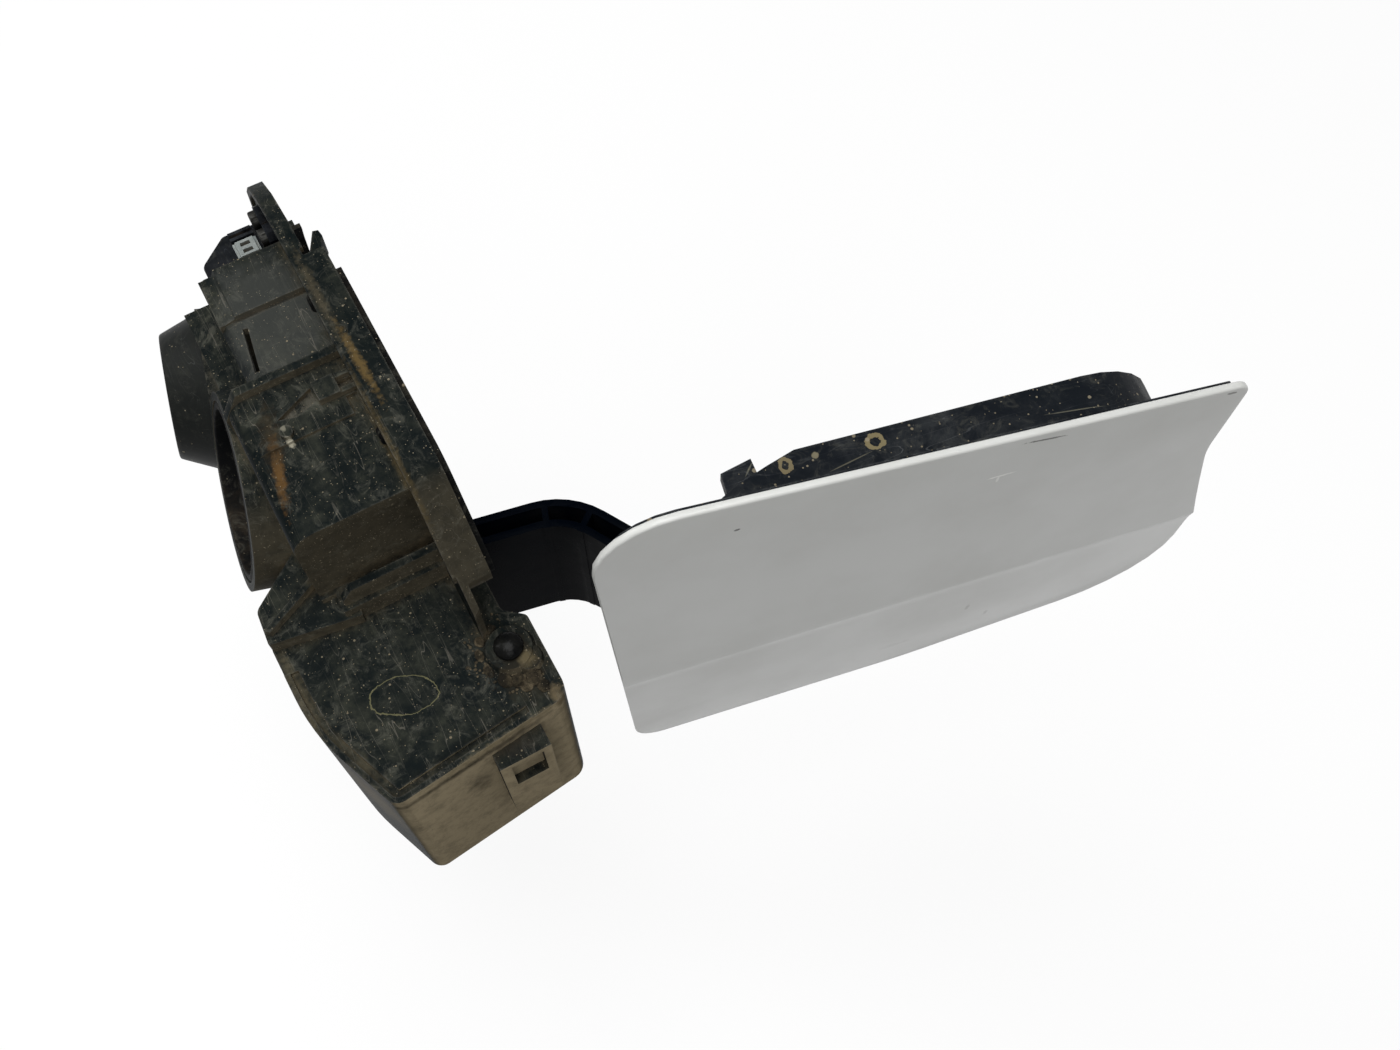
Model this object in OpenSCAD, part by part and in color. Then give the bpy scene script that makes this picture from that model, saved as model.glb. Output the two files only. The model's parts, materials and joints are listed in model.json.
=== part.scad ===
// Fuel filler flap unit of a car: moulded filler bowl with two neck collars,
// gooseneck hinge arm, dished carrier and painted outer panel, push latch and lock actuator.
// Shown with the door open. Lengths in millimetres.
// The geometry is laid out about the hinge axis: +X runs along the rim from the hinge to the latch,
// +Y runs into the bowl, +Z is up along the hinge axis, and z = 0 is at half the height of the arm.
// Door pieces are drawn closed and then swung open by open_angle.

/* [Door] */
// Swing of the door from closed to open, degrees
open_angle = 102; // [90:1:110]
// Distance from the hinge axis to the crease line of the closed panel
crease_off = 10; // [9.5:0.5:13]
// Thickness of the painted outer panel
panel_t = 2.2; // [1.8:0.1:2.6]
// Overhang of the panel past the rim at the latch end
panel_over_latch = 27.5; // [24:0.5:32]
// Overhang of the panel above the rim
panel_over_top = 19; // [16:0.5:22]
// Overhang of the panel below the rim
panel_over_bottom = 12; // [11:0.5:14]
// Lean of the panel above the crease, degrees
upper_lean = 0.5; // [0.5:0.5:2]
// Lean of the panel below the crease, degrees
lower_lean = 2; // [1:0.5:4]
// Thickness of the carrier base behind the panel
carrier_t = 1.8; // [1.4:0.1:2]
// Thickness of the carrier's dish wall
dish_wall = 2.2; // [1.6:0.1:3]
// How far the dish wall reaches past the hinge plane when closed
dish_reach = 5; // [3:0.5:6]

/* [Arm] */
// Height of the arm along the hinge axis
arm_h = 55; // [48:1:55]
// Width of the arm's channel, over both walls
arm_w = 8.6; // [7.5:0.1:9]
// Thickness of the arm's walls and ribs
arm_wall = 2.2; // [1.8:0.1:2.6]
// Outside diameter of the arm's hub
hub_d = 11; // [10:0.5:12]
// Diameter of the hinge pin
pin_d = 5; // [4:0.5:6]
// Depth of the arm's bend inside the bowl, to the middle of the channel
arm_depth = 40.8; // [38:0.2:41.4]

/* [Bowl] */
// Reach of the rim from the hinge axis to the latch end
rim_reach = 172; // [168:1:178]
// Height of the rim's top edge
rim_top = 88; // [86:1:92]
// Depth of the rim's bottom edge
rim_drop = 36.5; // [36.5:0.5:38]
// Wall thickness of the bowl
wall = 2.2; // [1.8:0.1:2.6]
// Depth of the bowl's back plate behind the hinge axis
bowl_depth = 38; // [37:0.5:42]
// Height of the upper plateau on the bowl's roof
plateau_h = 76; // [73:0.5:78]
// Height of the lower roof towards the latch
roof_h = 68; // [67.5:0.5:70]
// Half height of the hinge pocket
pocket_half = 36; // [35.5:0.5:38]

/* [Necks] */
// Bore of the fuel neck seal
fuel_bore_d = 47; // [44:0.5:48]
// Outside diameter of the fuel neck collar
fuel_collar_d = 57; // [55:0.5:60]
// Bore of the second neck's boot
boot_bore_d = 30; // [26:0.5:32]
// Outside diameter of the boot at its root
boot_root_d = 48; // [44:0.5:50]
// Outside diameter of the boot at its mouth
boot_end_d = 38; // [36:0.5:40]
// Length of the boot
boot_len = 11.5; // [10:0.5:14]

/* [Latch] */
// Diameter of the latch plunger
plunger_d = 6; // [5.6:0.2:6.2]
// Travel of the latch plunger from latched to popped out
plunger_travel = 7; // [6.5:0.1:7]
// Length of the turning head's crossbar
head_bar = 10.4; // [10:0.2:10.8]
// Diameter of the lock bolt
bolt_d = 4; // [3.6:0.1:4]

/* [Clearances] */
// Radial running clearance of pins and plungers
run_gap = 0.05; // [0.03:0.01:0.08]
// Radial seating clearance of fixed pieces
seat_gap = 0.1; // [0.05:0.05:0.2]
// Gap between the carrier and the rim of the bowl when closed
rim_gap = 2; // [1.5:0.1:3]

/* [Hidden] */

$fn = 48;
far = 260;
bend_steps = 6;

// Centres and tilts of the two necks: up and towards the latch, degrees
fuel_pos = [80.5, 47.5, 35];
fuel_tilt = 15.5;
fuel_yaw = 9;
fuel_len = 15;
boot_pos = [131.4, 42.7, 10];
boot_tilt = 11;
boot_yaw = 13;

// Rim outline across X and Z, and the corner radii
rim_left = -6;
rim_corner = rim_top - 14;
rim_low_corner = 50;
skirt_t = 2.2;
web_y = 3;
web_t = 2;
seat_y = web_y + web_t + 1;
ear_y = 1.5;
rim_pts = [
    [rim_left, -rim_drop], [rim_reach, -rim_drop], [rim_reach, rim_top],
    [33, rim_top], [rim_left, pocket_half]
];
rim_rad = [3, rim_low_corner, rim_corner, 14, 4];

// Tub outline across X and Z; its upper corner at the latch end is slanted, and notched for the actuator
tub_right = rim_reach - 8;
tub_left = 35.5;
tub_low = -rim_drop + 5;
notch_x = 127;
notch_z = roof_h - 22;
slant_z = 48;
tub_pts = [
    [30, tub_low], [tub_right, tub_low], [tub_right, notch_z], [notch_x, notch_z],
    [notch_x, roof_h], [tub_left, roof_h]
];
tub_rad = [3, 36, 4, 0.3, 3, 2];
slant_from = [tub_right, notch_z - slant_z];
slant_to = [notch_x + 7, notch_z];
back_round = 9;
shelf_y = 30;
shelf_z = roof_h - 23;
ridge_x = 80.5;
ridge_t = 2.4;
block_groove_x = 108.7;
plateau_step_x = 53;

// Hinge pocket in plan, its front wall and its back corner
pocket_pts = [
    [-18.5, -8.5], [7, -8.5], [11.5, -3], [28, -3], [33, 10], [33, 55.5], [4, 55], [-24.5, 44]
];
pocket_rad = [5, 2, 2, 1, 3, 3, 60, 4];
gusset_pts = [[26, 30], [53, 30], [53, 38], [40.5, 54.5], [30, 55.3]];
gusset_rad = [0.5, 0.5, 2, 3, 0.5];
gusset_h = 41;
mouth_left = 28;
step_h = 44;
slot_rib_h = 51;

// Panel outline when closed; the right edge is waisted above the crease
panel_right = rim_reach + panel_over_latch;
panel_top = rim_top + panel_over_top;
panel_low = -rim_drop - panel_over_bottom;
panel_pts = [
    [30, panel_low], [118, panel_low + 5.5], [panel_right, panel_low + 21.5], [panel_right, 20],
    [panel_right - 9.5, 62], [panel_right - 8, panel_top - 12], [23, panel_top + 3.5]
];
panel_rad = [9, 120, 36, 5, 40, 4, 20];
crease_x = 27.5;
crease_z = 12;
crease_rise = 2.8;

// Dish wall of the carrier when closed, and the ramp at its hinge end
dish_pts = [
    [50, panel_low + 5], [120, panel_low + 7.6], [panel_right - 18.5, panel_low + 20],
    [panel_right - 19.5, 34], [panel_right - 27.5, panel_top - 12], [52, panel_top - 8]
];
dish_rad = [8, 100, 44, 40, 24, 12];
ramp_x = 53;
ramp_len = 17;
panel_in = panel_t;
carrier_in = panel_t + carrier_t;
rim_in = carrier_in + rim_gap;

// Middle line of the arm when closed: hub, three bends and foot
arm_line = [[0, 0], [-12.8, 12], [-12.8, arm_depth - 0.5], [26, arm_depth], [64, -2.5]];
arm_bends = [0, 12, 12, 21, 0];
foot_half = 13;
foot_t = 3;
foot_x = 62;
web_mid = 2.2;
knuckle_h = 15;

// Latch axis, plunger notch and lock bolt
latch_x = 117;
latch_z = roof_h - 11;
head_y = 3.5;
head_t = 2;
plunger_y = 10.8;
bolt_y = 16.5;
bolt_clear = 0.3;
overtravel = 1;
notch_y0 = bolt_y - bolt_d / 2 - bolt_clear - overtravel;
notch_y1 = bolt_y + bolt_d / 2 + bolt_clear;
plunger_end = bolt_y - bolt_d / 2 - bolt_clear + plunger_travel;
case_y0 = 9.3;
case_y1 = 29;
case_d = 12.4;
bolt_z = latch_z - 2.9;
bolt_travel = 5.5;
bolt_tip_x = latch_x + plunger_d / 2 + 0.6;
striker_in = head_bar + 1.4;
striker_out = striker_in + 2.2;
striker_lip_y = head_y + head_t + overtravel + 0.3;
striker_lip_t = 1.5;
striker_slot = plunger_d + 0.8;

// Actuator body, in the notch of the tub
act_x0 = notch_x + 0.3;
act_x1 = 141.5;
act_z0 = notch_z + 0.3;
act_z1 = roof_h - 8;
act_t = 1.5;
plug_x = 130.7;
act_y0 = 6;
act_y1 = 27;
armature_d = 4.8;
armature_len = 4.4;

// Plain vector helpers
function unit(v) = v / norm(v);
function left_of(a, b) = let (u = unit(b - a)) [-u[1], u[0]];
function turn_of(p, q, r) = (q[0] - p[0]) * (r[1] - q[1]) - (q[1] - p[1]) * (r[0] - q[0]);

// Outline whose edges are moved inwards by d
function inset(pts, d) = let (n = len(pts)) [
    for (i = [0 : n - 1])
        let (p = pts[(i + n - 1) % n], q = pts[i], r = pts[(i + 1) % n])
        let (a = left_of(p, q), b = left_of(q, r))
        q + d * (a + b) / (1 + a * b)
];

// Points of one rounded corner
function corner(p, q, r, rad) =
    let (u = unit(p - q), v = unit(r - q), half = acos(u * v) / 2)
    let (c = q + unit(u + v) * rad / sin(half), t = rad / tan(half))
    let (s = q + u * t - c, e = q + v * t - c)
    let (a0 = atan2(s[1], s[0]), raw = atan2(e[1], e[0]) - a0)
    let (sweep = raw > 180 ? raw - 360 : (raw < -180 ? raw + 360 : raw))
    [for (k = [0 : bend_steps]) c + rad * [cos(a0 + sweep * k / bend_steps), sin(a0 + sweep * k / bend_steps)]];

// Closed outline with rounded corners, moved inwards by d
function rounded(pts, rads, d = 0) =
    let (q = inset(pts, d), n = len(pts))
    [
        for (i = [0 : n - 1])
            let (p = q[(i + n - 1) % n], r = q[(i + 1) % n])
            let (out = turn_of(p, q[i], r) > 0 ? -d : d)
            each corner(p, q[i], r, max(0.2, rads[i] + out))
    ];

// Open line with rounded bends
function bent(pts, rads) = [
    for (i = [0 : len(pts) - 1])
        each (rads[i] == 0 ? [pts[i]] : corner(pts[i - 1], pts[i], pts[i + 1], rads[i]))
];

// One side of a band that follows a line at a distance d
function beside(line, d) = [
    for (i = [0 : len(line) - 1])
        let (p = line[max(0, i - 1)], r = line[min(len(line) - 1, i + 1)])
        line[i] + d * left_of(p, r)
];
function reversed(v) = [for (i = [len(v) - 1 : -1 : 0]) v[i]];
function band(line, d0, d1) = concat(beside(line, d0), reversed(beside(line, d1)));

// Extrusion of an X-Z outline from y0 to y1
module along_y(y0, y1) {
    translate([0, y1, 0]) rotate([90, 0, 0]) linear_extrude(y1 - y0) children();
}

// Extrusion of a Y-Z outline from x0 to x1
module along_x(x0, x1) {
    translate([x0, 0, 0]) rotate([90, 0, 90]) linear_extrude(x1 - x0) children();
}

// Extrusion of an X-Y outline from z0 to z1
module along_z(z0, z1) {
    translate([0, 0, z0]) linear_extrude(z1 - z0) children();
}

module box(lo, hi) {
    translate(lo) cube(hi - lo);
}

// Moves the hinge layout so that the origin is the middle of the fuel neck's mouth
module from_hinge() {
    translate(-fuel_pos) children();
}

// Swings the closed door to its open rest position
module door_open() {
    from_hinge() rotate([0, 0, -open_angle]) children();
}

// Frame of a neck: its axis becomes +Z, leaving the bowl
module neck_frame(pos, tilt, yaw) {
    translate(pos) rotate([0, 0, -yaw]) rotate([tilt - 90, 0, 0]) children();
}

module ring(r_out, r_in, z0, z1) {
    translate([0, 0, z0]) difference() {
        cylinder(h = z1 - z0, r = r_out);
        translate([0, 0, -1]) cylinder(h = z1 - z0 + 2, r = r_in);
    }
}

// Everything in front of the surface that lies depth behind the closed panel's outer face
module before_face(depth) {
    y0 = depth - crease_off;
    translate([crease_x, 0, crease_z]) rotate([0, -crease_rise, 0])
        along_x(-far, far)
            polygon([
                [-60, -far], [y0 + far * tan(lower_lean), -far], [y0, 0],
                [y0 + far * tan(upper_lean), far], [-60, far]
            ]);
}

// Points along a coil about Z that starts on the X axis
function coil_path(r, z0, z1, turns, seg) = [
    for (i = [0 : turns * seg])
        [r * cos(360 * i / seg), r * sin(360 * i / seg), z0 + (z1 - z0) * i / (turns * seg)]
];

// Wire of six-sided section that follows a path
module wire_along(path, wire, sides = 6) {
    last = len(path) - 1;
    points = [
        for (i = [0 : last])
            let (t = path[min(last, i + 1)] - path[max(0, i - 1)], n = unit([t[1], -t[0], 0]))
            for (k = [0 : sides - 1])
                let (b = 360 * k / sides)
                path[i] + wire / 2 * (cos(b) * n + sin(b) * [0, 0, 1])
    ];
    skin = [
        for (i = [0 : last - 1]) for (k = [0 : sides - 1])
            let (a = i * sides + k, b = i * sides + (k + 1) % sides)
            [b, b + sides, a + sides, a]
    ];
    start = [for (k = [sides - 1 : -1 : 0]) k];
    end = [for (k = [0 : sides - 1]) last * sides + k];
    polyhedron(points, concat(skin, [start, end]));
}

function depth_arc(depth, top, a) =
    [depth - back_round + back_round * cos(a), top - back_round + back_round * sin(a)];

// Tub of the bowl between its front and back, moved inwards by d
module tub(d, y0, top_h) {
    depth = bowl_depth - d;
    low = tub_low + d;
    top = top_h - d;
    difference() {
        intersection() {
            along_y(y0, depth) polygon(rounded(tub_pts, tub_rad, d));
            along_x(0, far)
                polygon(concat(
                    [[y0, low - 1], [depth - back_round - 1, low - 1], [depth, low + back_round]],
                    [for (a = [0 : 15 : 75]) depth_arc(depth, top, a)],
                    [[depth - back_round, top], [depth - back_round - 1, top + 1], [y0, top + 1]]
                ));
        }
        // Slanted corner at the latch end
        along_y(y0 - 1, depth + 1)
            let (along = unit(slant_to - slant_from), inward = [-along[1], along[0]])
            polygon([
                slant_from - 30 * along + d * inward, slant_from - 30 * along + 60 * [1, 0],
                slant_to + along + 60 * [1, 0], slant_to + along + d * inward
            ]);
        // Beyond the ridge the upper roof is shallower
        along_x(ridge_x + 1 - d, far)
            polygon([
                [far, shelf_z - d], [bowl_depth, shelf_z - d], [shelf_y - d + 2, shelf_z - d + 1],
                [shelf_y - d, shelf_z - d + 3], [shelf_y - d, top - 4], [shelf_y - d - 2, top - 1],
                [shelf_y - d - 5, top + 0.01], [shelf_y - d - 5, top + 5], [far, top + 5]
            ]);
    }
}

// Raised plateau between the hinge and the ridge
module plateau(d, y0) {
    top = plateau_h - d;
    depth = bowl_depth - d;
    round_r = 6;
    along_x(tub_left + d, ridge_x)
        polygon(concat(
            [[y0, 40], [depth, 40]],
            [for (a = [0 : 15 : 90]) [depth - round_r + round_r * cos(a), top - round_r + round_r * sin(a)]],
            [[y0, top]]
        ));
}

module pocket(d) {
    along_z(d - pocket_half, pocket_half - d) polygon(rounded(pocket_pts, pocket_rad, d));
}

module gusset(d) {
    along_z(tub_low + 1.3 * d, gusset_h - 3 * d) polygon(rounded(gusset_pts, gusset_rad, d));
}

// Rim: a flat web behind the skirt, cut back to follow the closed door
module rim_flange() {
    difference() {
        along_y(web_y, web_y + web_t) polygon(rounded(rim_pts, rim_rad));
        translate([0, 0, pocket_half]) cylinder(h = 20, r = 7.8);
    }
    // Seat land that lies on the car's body side
    difference() {
        along_y(web_y, seat_y) difference() {
            polygon(rounded(rim_pts, rim_rad));
            polygon(rounded(rim_pts, rim_rad, skirt_t));
        }
        box([-20, -20, -far], [14, 20, far]);
        box([-20, -20, -far], [36, 20, pocket_half + 10]);
    }
    difference() {
        along_y(-12, web_y + web_t) difference() {
            polygon(rounded(rim_pts, rim_rad));
            polygon(rounded(rim_pts, rim_rad, skirt_t));
        }
        before_face(rim_in);
        box([106, -20, 20], [far, ear_y, far]);
        box([-20, -20, -pocket_half - 2], [12, web_y + web_t + 1, 62]);
    }
}

module bowl_outer() {
    rim_flange();
    tub(0, web_y, roof_h);
    plateau(0, web_y);
    pocket(0);
    gusset(0);
    // Step block with its rib between the pocket roof and the plateau
    box([27.5, 4, pocket_half - wall], [37, 34, step_h]);
    along_x(29, 31.2) polygon([[4, 30], [33, 30], [33, slot_rib_h - 4], [30, slot_rib_h], [4, slot_rib_h]]);
}

module bowl_void() {
    tub(wall, -20, roof_h);
    plateau(wall, -20);
    pocket(wall);
    intersection() {
        gusset(wall);
        box([0, 0, -far], [far, far, pocket_half - wall]);
    }
    box([mouth_left, -20, tub_low + wall + 0.6], [45, 20, pocket_half - wall]);
    box([22, -0.4, tub_low + wall + 0.6], [45, 34, pocket_half - wall]);
}

// Ribs, hooks and steps on the outside of the bowl
module bowl_trim() {
    // Long ridge across the roof at the end of the plateau
    along_x(ridge_x - ridge_t / 2, ridge_x + ridge_t / 2)
        polygon([[web_y, roof_h - 4], [bowl_depth, roof_h - 12], [bowl_depth + 1, plateau_h - 6], [bowl_depth - 4, plateau_h + 3], [web_y, plateau_h + 3]]);
    // Snap clip with two arms, and the light boss beside it
    box([68.2, 9.6, plateau_h - 3], [74.2, 15.6, plateau_h + 2.4]);
    for (x = [68.2, 73])
        box([x, web_y, plateau_h - 3], [x + 1.4, 10, plateau_h + 1.6]);
    translate([64.7, 26.4, plateau_h - 3]) cylinder(h = 4.4, d = 3.6, $fn = 24);
    // Rounded cover of the latch box
    along_x(block_groove_x + 0.8, notch_x - 0.4)
        polygon([[web_y, roof_h - 1.5], [26, roof_h - 1.5], [25, roof_h + 0.9], [5, roof_h + 0.9], [web_y, roof_h]]);
    // Hook ring at the back corner of the second block
    translate([88, shelf_y, roof_h - 9]) rotate([0, 20, 0]) rotate([0, 90, 0]) ring(4.4, 2.8, -1.2, 1.2);
    // Diagonal rib on the gusset
    along_z(pocket_half - 2, gusset_h + 3)
        polygon([[33, 54.6], [31.8, 53.4], [40.6, 35.5], [42.4, 36.4]]);
    // Hinge knuckles on the roof and floor of the pocket
    for (s = [-1, 1]) mirror([0, 0, s < 0 ? 1 : 0]) {
        translate([0, 0, arm_h / 2 + 0.3]) cylinder(h = pocket_half - arm_h / 2 - 1, d = hub_d);
        translate([0, 0, pocket_half - 1]) cylinder(h = 3.2, d1 = 15, d2 = 12.4);
    }
    translate([-4.6, -3.4, pocket_half - 1]) cylinder(h = 2.6, d1 = 9, d2 = 7, $fn = 24);
    // Bridge plate with a window on the end of the pocket
    box([-26.2, 1.5, -12], [-18, 16.5, 28.5]);
    // Raised border round the pocket roof
    difference() {
        along_z(pocket_half - 1, pocket_half + 1) difference() {
            polygon(rounded(pocket_pts, pocket_rad, 0));
            polygon(rounded(pocket_pts, pocket_rad, 1.6));
        }
        box([22, -20, 0], [far, far, 60]);
        box([-30, -20, 0], [far, 3, 60]);
    }
}

// Collars that carry the fuel neck seal and the boot
module bowl_collars() {
    neck_frame(fuel_pos, fuel_tilt, fuel_yaw)
        translate([0, 0, -fuel_len - 6]) cylinder(h = fuel_len + 6, d = fuel_collar_d, $fn = 72);
    neck_frame(boot_pos, boot_tilt, boot_yaw)
        translate([0, 0, -12]) cylinder(h = 12, d = boot_root_d + 3, $fn = 60);
}

module bowl_cuts() {
    // Inside of the collars; the seal ledge stays at the foot of the fuel collar
    neck_frame(fuel_pos, fuel_tilt, fuel_yaw) {
        translate([0, 0, -9]) cylinder(h = 12, d = fuel_collar_d - 5, $fn = 72);
        translate([0, 0, -40]) cylinder(h = 42, d = fuel_bore_d + 1, $fn = 72);
    }
    neck_frame(boot_pos, boot_tilt, boot_yaw) {
        translate([0, 0, -40]) cylinder(h = 42, d = boot_bore_d + 4, $fn = 60);
        ring(boot_root_d / 2 + 0.8, boot_root_d / 2 - 4, -4, 9);
        translate([0, 0, 0.05]) cylinder(h = 9, r = boot_root_d / 2);
    }
    // Pin bore through both knuckles
    translate([0, 0, -pocket_half - 8]) cylinder(h = 2 * pocket_half + 11, r = pin_d / 2 + 0.02);
    // Plateau step, clip recess and triangular pit
    along_z(plateau_h - 0.9, plateau_h + 9)
        polygon([[plateau_step_x - 3.2, 40], [plateau_step_x + 2.2, 6], [67.6, 6], [67.6, 9], [62, 9], [62, 40]]);
    along_z(plateau_h - 1.6, plateau_h + 9) polygon([[69.4, 27.2], [74.4, 16.2], [70, 16.2], [68, 22]]);
    box([69.8, 5, plateau_h - 1.6], [72.8, 9.4, plateau_h + 9]);
    // Groove between the second block and the latch box, and the slot at the block's back
    box([block_groove_x - 0.8, web_y + web_t, roof_h - 1.4], [block_groove_x + 0.8, 31, roof_h + 9]);
    along_z(roof_h - 6, roof_h + 9) polygon([[91, 25.6], [105, 23.4], [105.3, 24.8], [91.3, 27]]);
    // Groove inside the border of the pocket roof
    intersection() {
        along_z(pocket_half - 0.8, pocket_half + 3) difference() {
            polygon(rounded(pocket_pts, pocket_rad, 1.6));
            polygon(rounded(pocket_pts, pocket_rad, 3.8));
        }
        box([-30, 3, 0], [22, far, 60]);
    }
    // Slot behind the rib of the step block
    box([31.2, 4, step_h - 1], [tub_left, 40, slot_rib_h + 20]);
    // Window in the bridge plate
    box([-30, 4, 10], [-23.4, 13.4, 26]);
    // Notch in the rim beside the snap finger
    box([105.2, -20, 70], [108, 2.4, 100]);
    // Clear holes for the lock bolt, the latch case and the actuator screws
    translate([latch_x - 2.4, bolt_y, bolt_z]) rotate([0, 90, 0]) cylinder(h = 16.4, d = bolt_d + 0.6);
    translate([latch_x, 0, latch_z]) rotate([-90, 0, 0]) cylinder(h = case_y1 + 0.1, r = case_d / 2 + seat_gap);
    for (p = act_screws)
        translate([p[0], web_y - 1, p[1]]) rotate([-90, 0, 0]) cylinder(h = web_t + 2, d = 3.2, $fn = 24);
    for (p = buffer_at)
        translate([p[0], web_y - 1, p[1]]) rotate([-90, 0, 0]) cylinder(h = web_t + 2, d = 4.2, $fn = 24);
}

act_screws = [[133, act_z1 + 4.6], [140, act_z1 + 4.6]];
buffer_at = [[95, rim_top - 7.8], [50, rim_top - 7.8]];

// Snap finger that springs away from the rim's web
module snap_finger() {
    along_z(76, 84)
        polygon([[101, 0.3], [111, -4.7], [113, -4.4], [113.4, -2.9], [105.1, 1.6], [104.5, web_y + 1], [101, web_y + 1]]);
}

module bowl_housing() {
    color([0.13, 0.13, 0.125]) from_hinge() {
        snap_finger();
        difference() {
            union() {
                difference() {
                    union() {
                        bowl_outer();
                        bowl_collars();
                    }
                    bowl_void();
                }
                bowl_trim();
                // Tilted seat of the boot, which reaches a little into the bowl
                neck_frame(boot_pos, boot_tilt, boot_yaw) ring(boot_root_d / 2 + 1.5, boot_bore_d / 2 + 1, -6.4, -2);
                // Sleeve of the latch inside the roof
                box([block_groove_x + 0.8, case_y0 + 1, latch_z - 8], [notch_x - 1, shelf_y, roof_h - 1]);
            }
            bowl_cuts();
        }
    }
}

// Soft lip on the inside of the skirt, which the carrier presses on
module rim_seal() {
    color([0.08, 0.08, 0.085]) from_hinge() difference() {
        along_y(-12, web_y) difference() {
            polygon(rounded(rim_pts, rim_rad, skirt_t + seat_gap));
            polygon(rounded(rim_pts, rim_rad, skirt_t + seat_gap + 1.8));
        }
        before_face(carrier_in + 0.4);
        box([-20, -20, -pocket_half - 2], [31, 20, pocket_half + 2]);
        box([-20, -20, 30], [14, 20, 66]);
        box([98, -20, 72], [120, 20, 90]);
        box([98, -20, 20], [far, ear_y, far]);
        for (p = buffer_at)
            translate([p[0], -20, p[1]]) rotate([-90, 0, 0]) cylinder(h = 40, d = 9.4);
    }
}

module fuel_neck_seal() {
    r_in = fuel_bore_d / 2;
    r_out = fuel_collar_d / 2 - 2.5 - seat_gap;
    color([0.06, 0.06, 0.065]) from_hinge() neck_frame(fuel_pos, fuel_tilt, fuel_yaw)
        rotate_extrude($fn = 72)
            polygon([[r_in, -5], [r_in + 0.9, -8.9], [r_out, -8.9], [r_out, -0.4], [r_out - 1.2, 0], [r_in, 0]]);
}

module second_neck_boot() {
    r_in = boot_bore_d / 2;
    r0 = boot_root_d / 2;
    r1 = boot_end_d / 2;
    color([0.17, 0.17, 0.165]) from_hinge() neck_frame(boot_pos, boot_tilt, boot_yaw)
        rotate_extrude($fn = 60)
            polygon([
                [r0 - 4 + seat_gap, 0.1], [r0 - 4 + seat_gap, -3.9], [r0, -3.9], [r0 + 0.3, -1.5], [r0, 0.5],
                [r1 + 0.6, boot_len - 1.2], [r1, boot_len], [r_in, boot_len],
                [r_in, boot_len - 4], [r1 - 2.2, boot_len - 4.4], [r0 - 4, 0.6]
            ]);
}

module hinge_pin() {
    top = pocket_half + 2.3;
    color([0.05, 0.05, 0.06]) from_hinge() {
        translate([0, 0, -pocket_half - 2.4]) cylinder(h = top + pocket_half + 3.4, d = pin_d);
        translate([0, 0, top]) rotate_extrude()
            polygon(concat([[0, 0]], [for (a = [0 : 15 : 90]) [4.1 * cos(a), 0.7 + 2.4 * sin(a)]], [[0, 3.1]]));
    }
}

module hinge_spring() {
    half = arm_h / 2 - knuckle_h - 3.5;
    r = pin_d / 2 + 1.8;
    color([0.62, 0.62, 0.6]) from_hinge()
        wire_along(concat([[r, -6, -half]], coil_path(r, -half, half, 7, 16), [[r, 4.4, half]]), 1.4);
}

module stop_buffers() {
    color([0.07, 0.07, 0.07]) from_hinge() for (p = buffer_at)
        difference() {
            translate([p[0], -12, p[1]]) rotate([-90, 0, 0]) union() {
                cylinder(h = 12 + web_y, d = 8, $fn = 32);
                cylinder(h = 12 + web_y + web_t, d = 4, $fn = 32);
                translate([0, 0, 12 + web_y + web_t]) cylinder(h = 1.6, d1 = 6, d2 = 4, $fn = 32);
            }
            before_face(carrier_in + 0.4);
        }
}

module latch_case() {
    color([0.1, 0.1, 0.11]) from_hinge() difference() {
        translate([latch_x, case_y0, latch_z]) rotate([-90, 0, 0]) union() {
            cylinder(h = case_y1 - case_y0, d = case_d);
            cylinder(h = 1, d = case_d + 1.2);
        }
        translate([latch_x, case_y0 - 1, latch_z]) rotate([-90, 0, 0])
            cylinder(h = case_y1 - case_y0 - 0.6, r = plunger_d / 2 + run_gap);
        translate([latch_x - 2.4, bolt_y, bolt_z]) rotate([0, 90, 0]) cylinder(h = 20, d = bolt_d + 0.6);
    }
}

module latch_spring() {
    gap = 0.3;
    color([0.65, 0.65, 0.63]) from_hinge() translate([latch_x, 0, latch_z]) rotate([-90, 0, 0])
        wire_along(coil_path(plunger_d / 2 - 0.7, plunger_end + overtravel + 0.45, case_y1 - 1.95 - gap, 4, 14), 0.7);
}

module latch_plunger() {
    color([0.78, 0.77, 0.72]) from_hinge() translate([latch_x, 0, latch_z]) difference() {
        translate([0, plunger_y, 0]) rotate([-90, 0, 0]) cylinder(h = plunger_end - plunger_y, d = plunger_d);
        box([-10, notch_y0, -10], [10, notch_y1, -0.5]);
        translate([0, plunger_y - 1, 0]) rotate([-90, 0, 0]) cylinder(h = 3.2, r = 1.8 + run_gap, $fn = 32);
    }
}

module latch_head() {
    color([0.8, 0.79, 0.74]) from_hinge() translate([latch_x, 0, latch_z]) {
        translate([0, head_y, 0]) rotate([-90, 0, 0]) cylinder(h = plunger_y + 2 - head_y, d = 3.6, $fn = 32);
        intersection() {
            box([-1.6, head_y, -head_bar / 2], [1.6, head_y + head_t, head_bar / 2]);
            translate([0, head_y - 1, 0]) rotate([-90, 0, 0]) cylinder(h = head_t + 2, d = head_bar);
        }
        translate([0, plunger_y - 1.4, 0]) rotate([-90, 0, 0]) cylinder(h = 1.2, d = 4.8, $fn = 32);
    }
}

module actuator_outline(d) {
    polygon(rounded(
        [[act_x0, act_y0], [act_x1, act_y0], [act_x1, act_y1 - 8.5], [act_x1 - 7, act_y1], [act_x0, act_y1]],
        [1.6, 2, 2, 3, 1.6], d));
}

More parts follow.
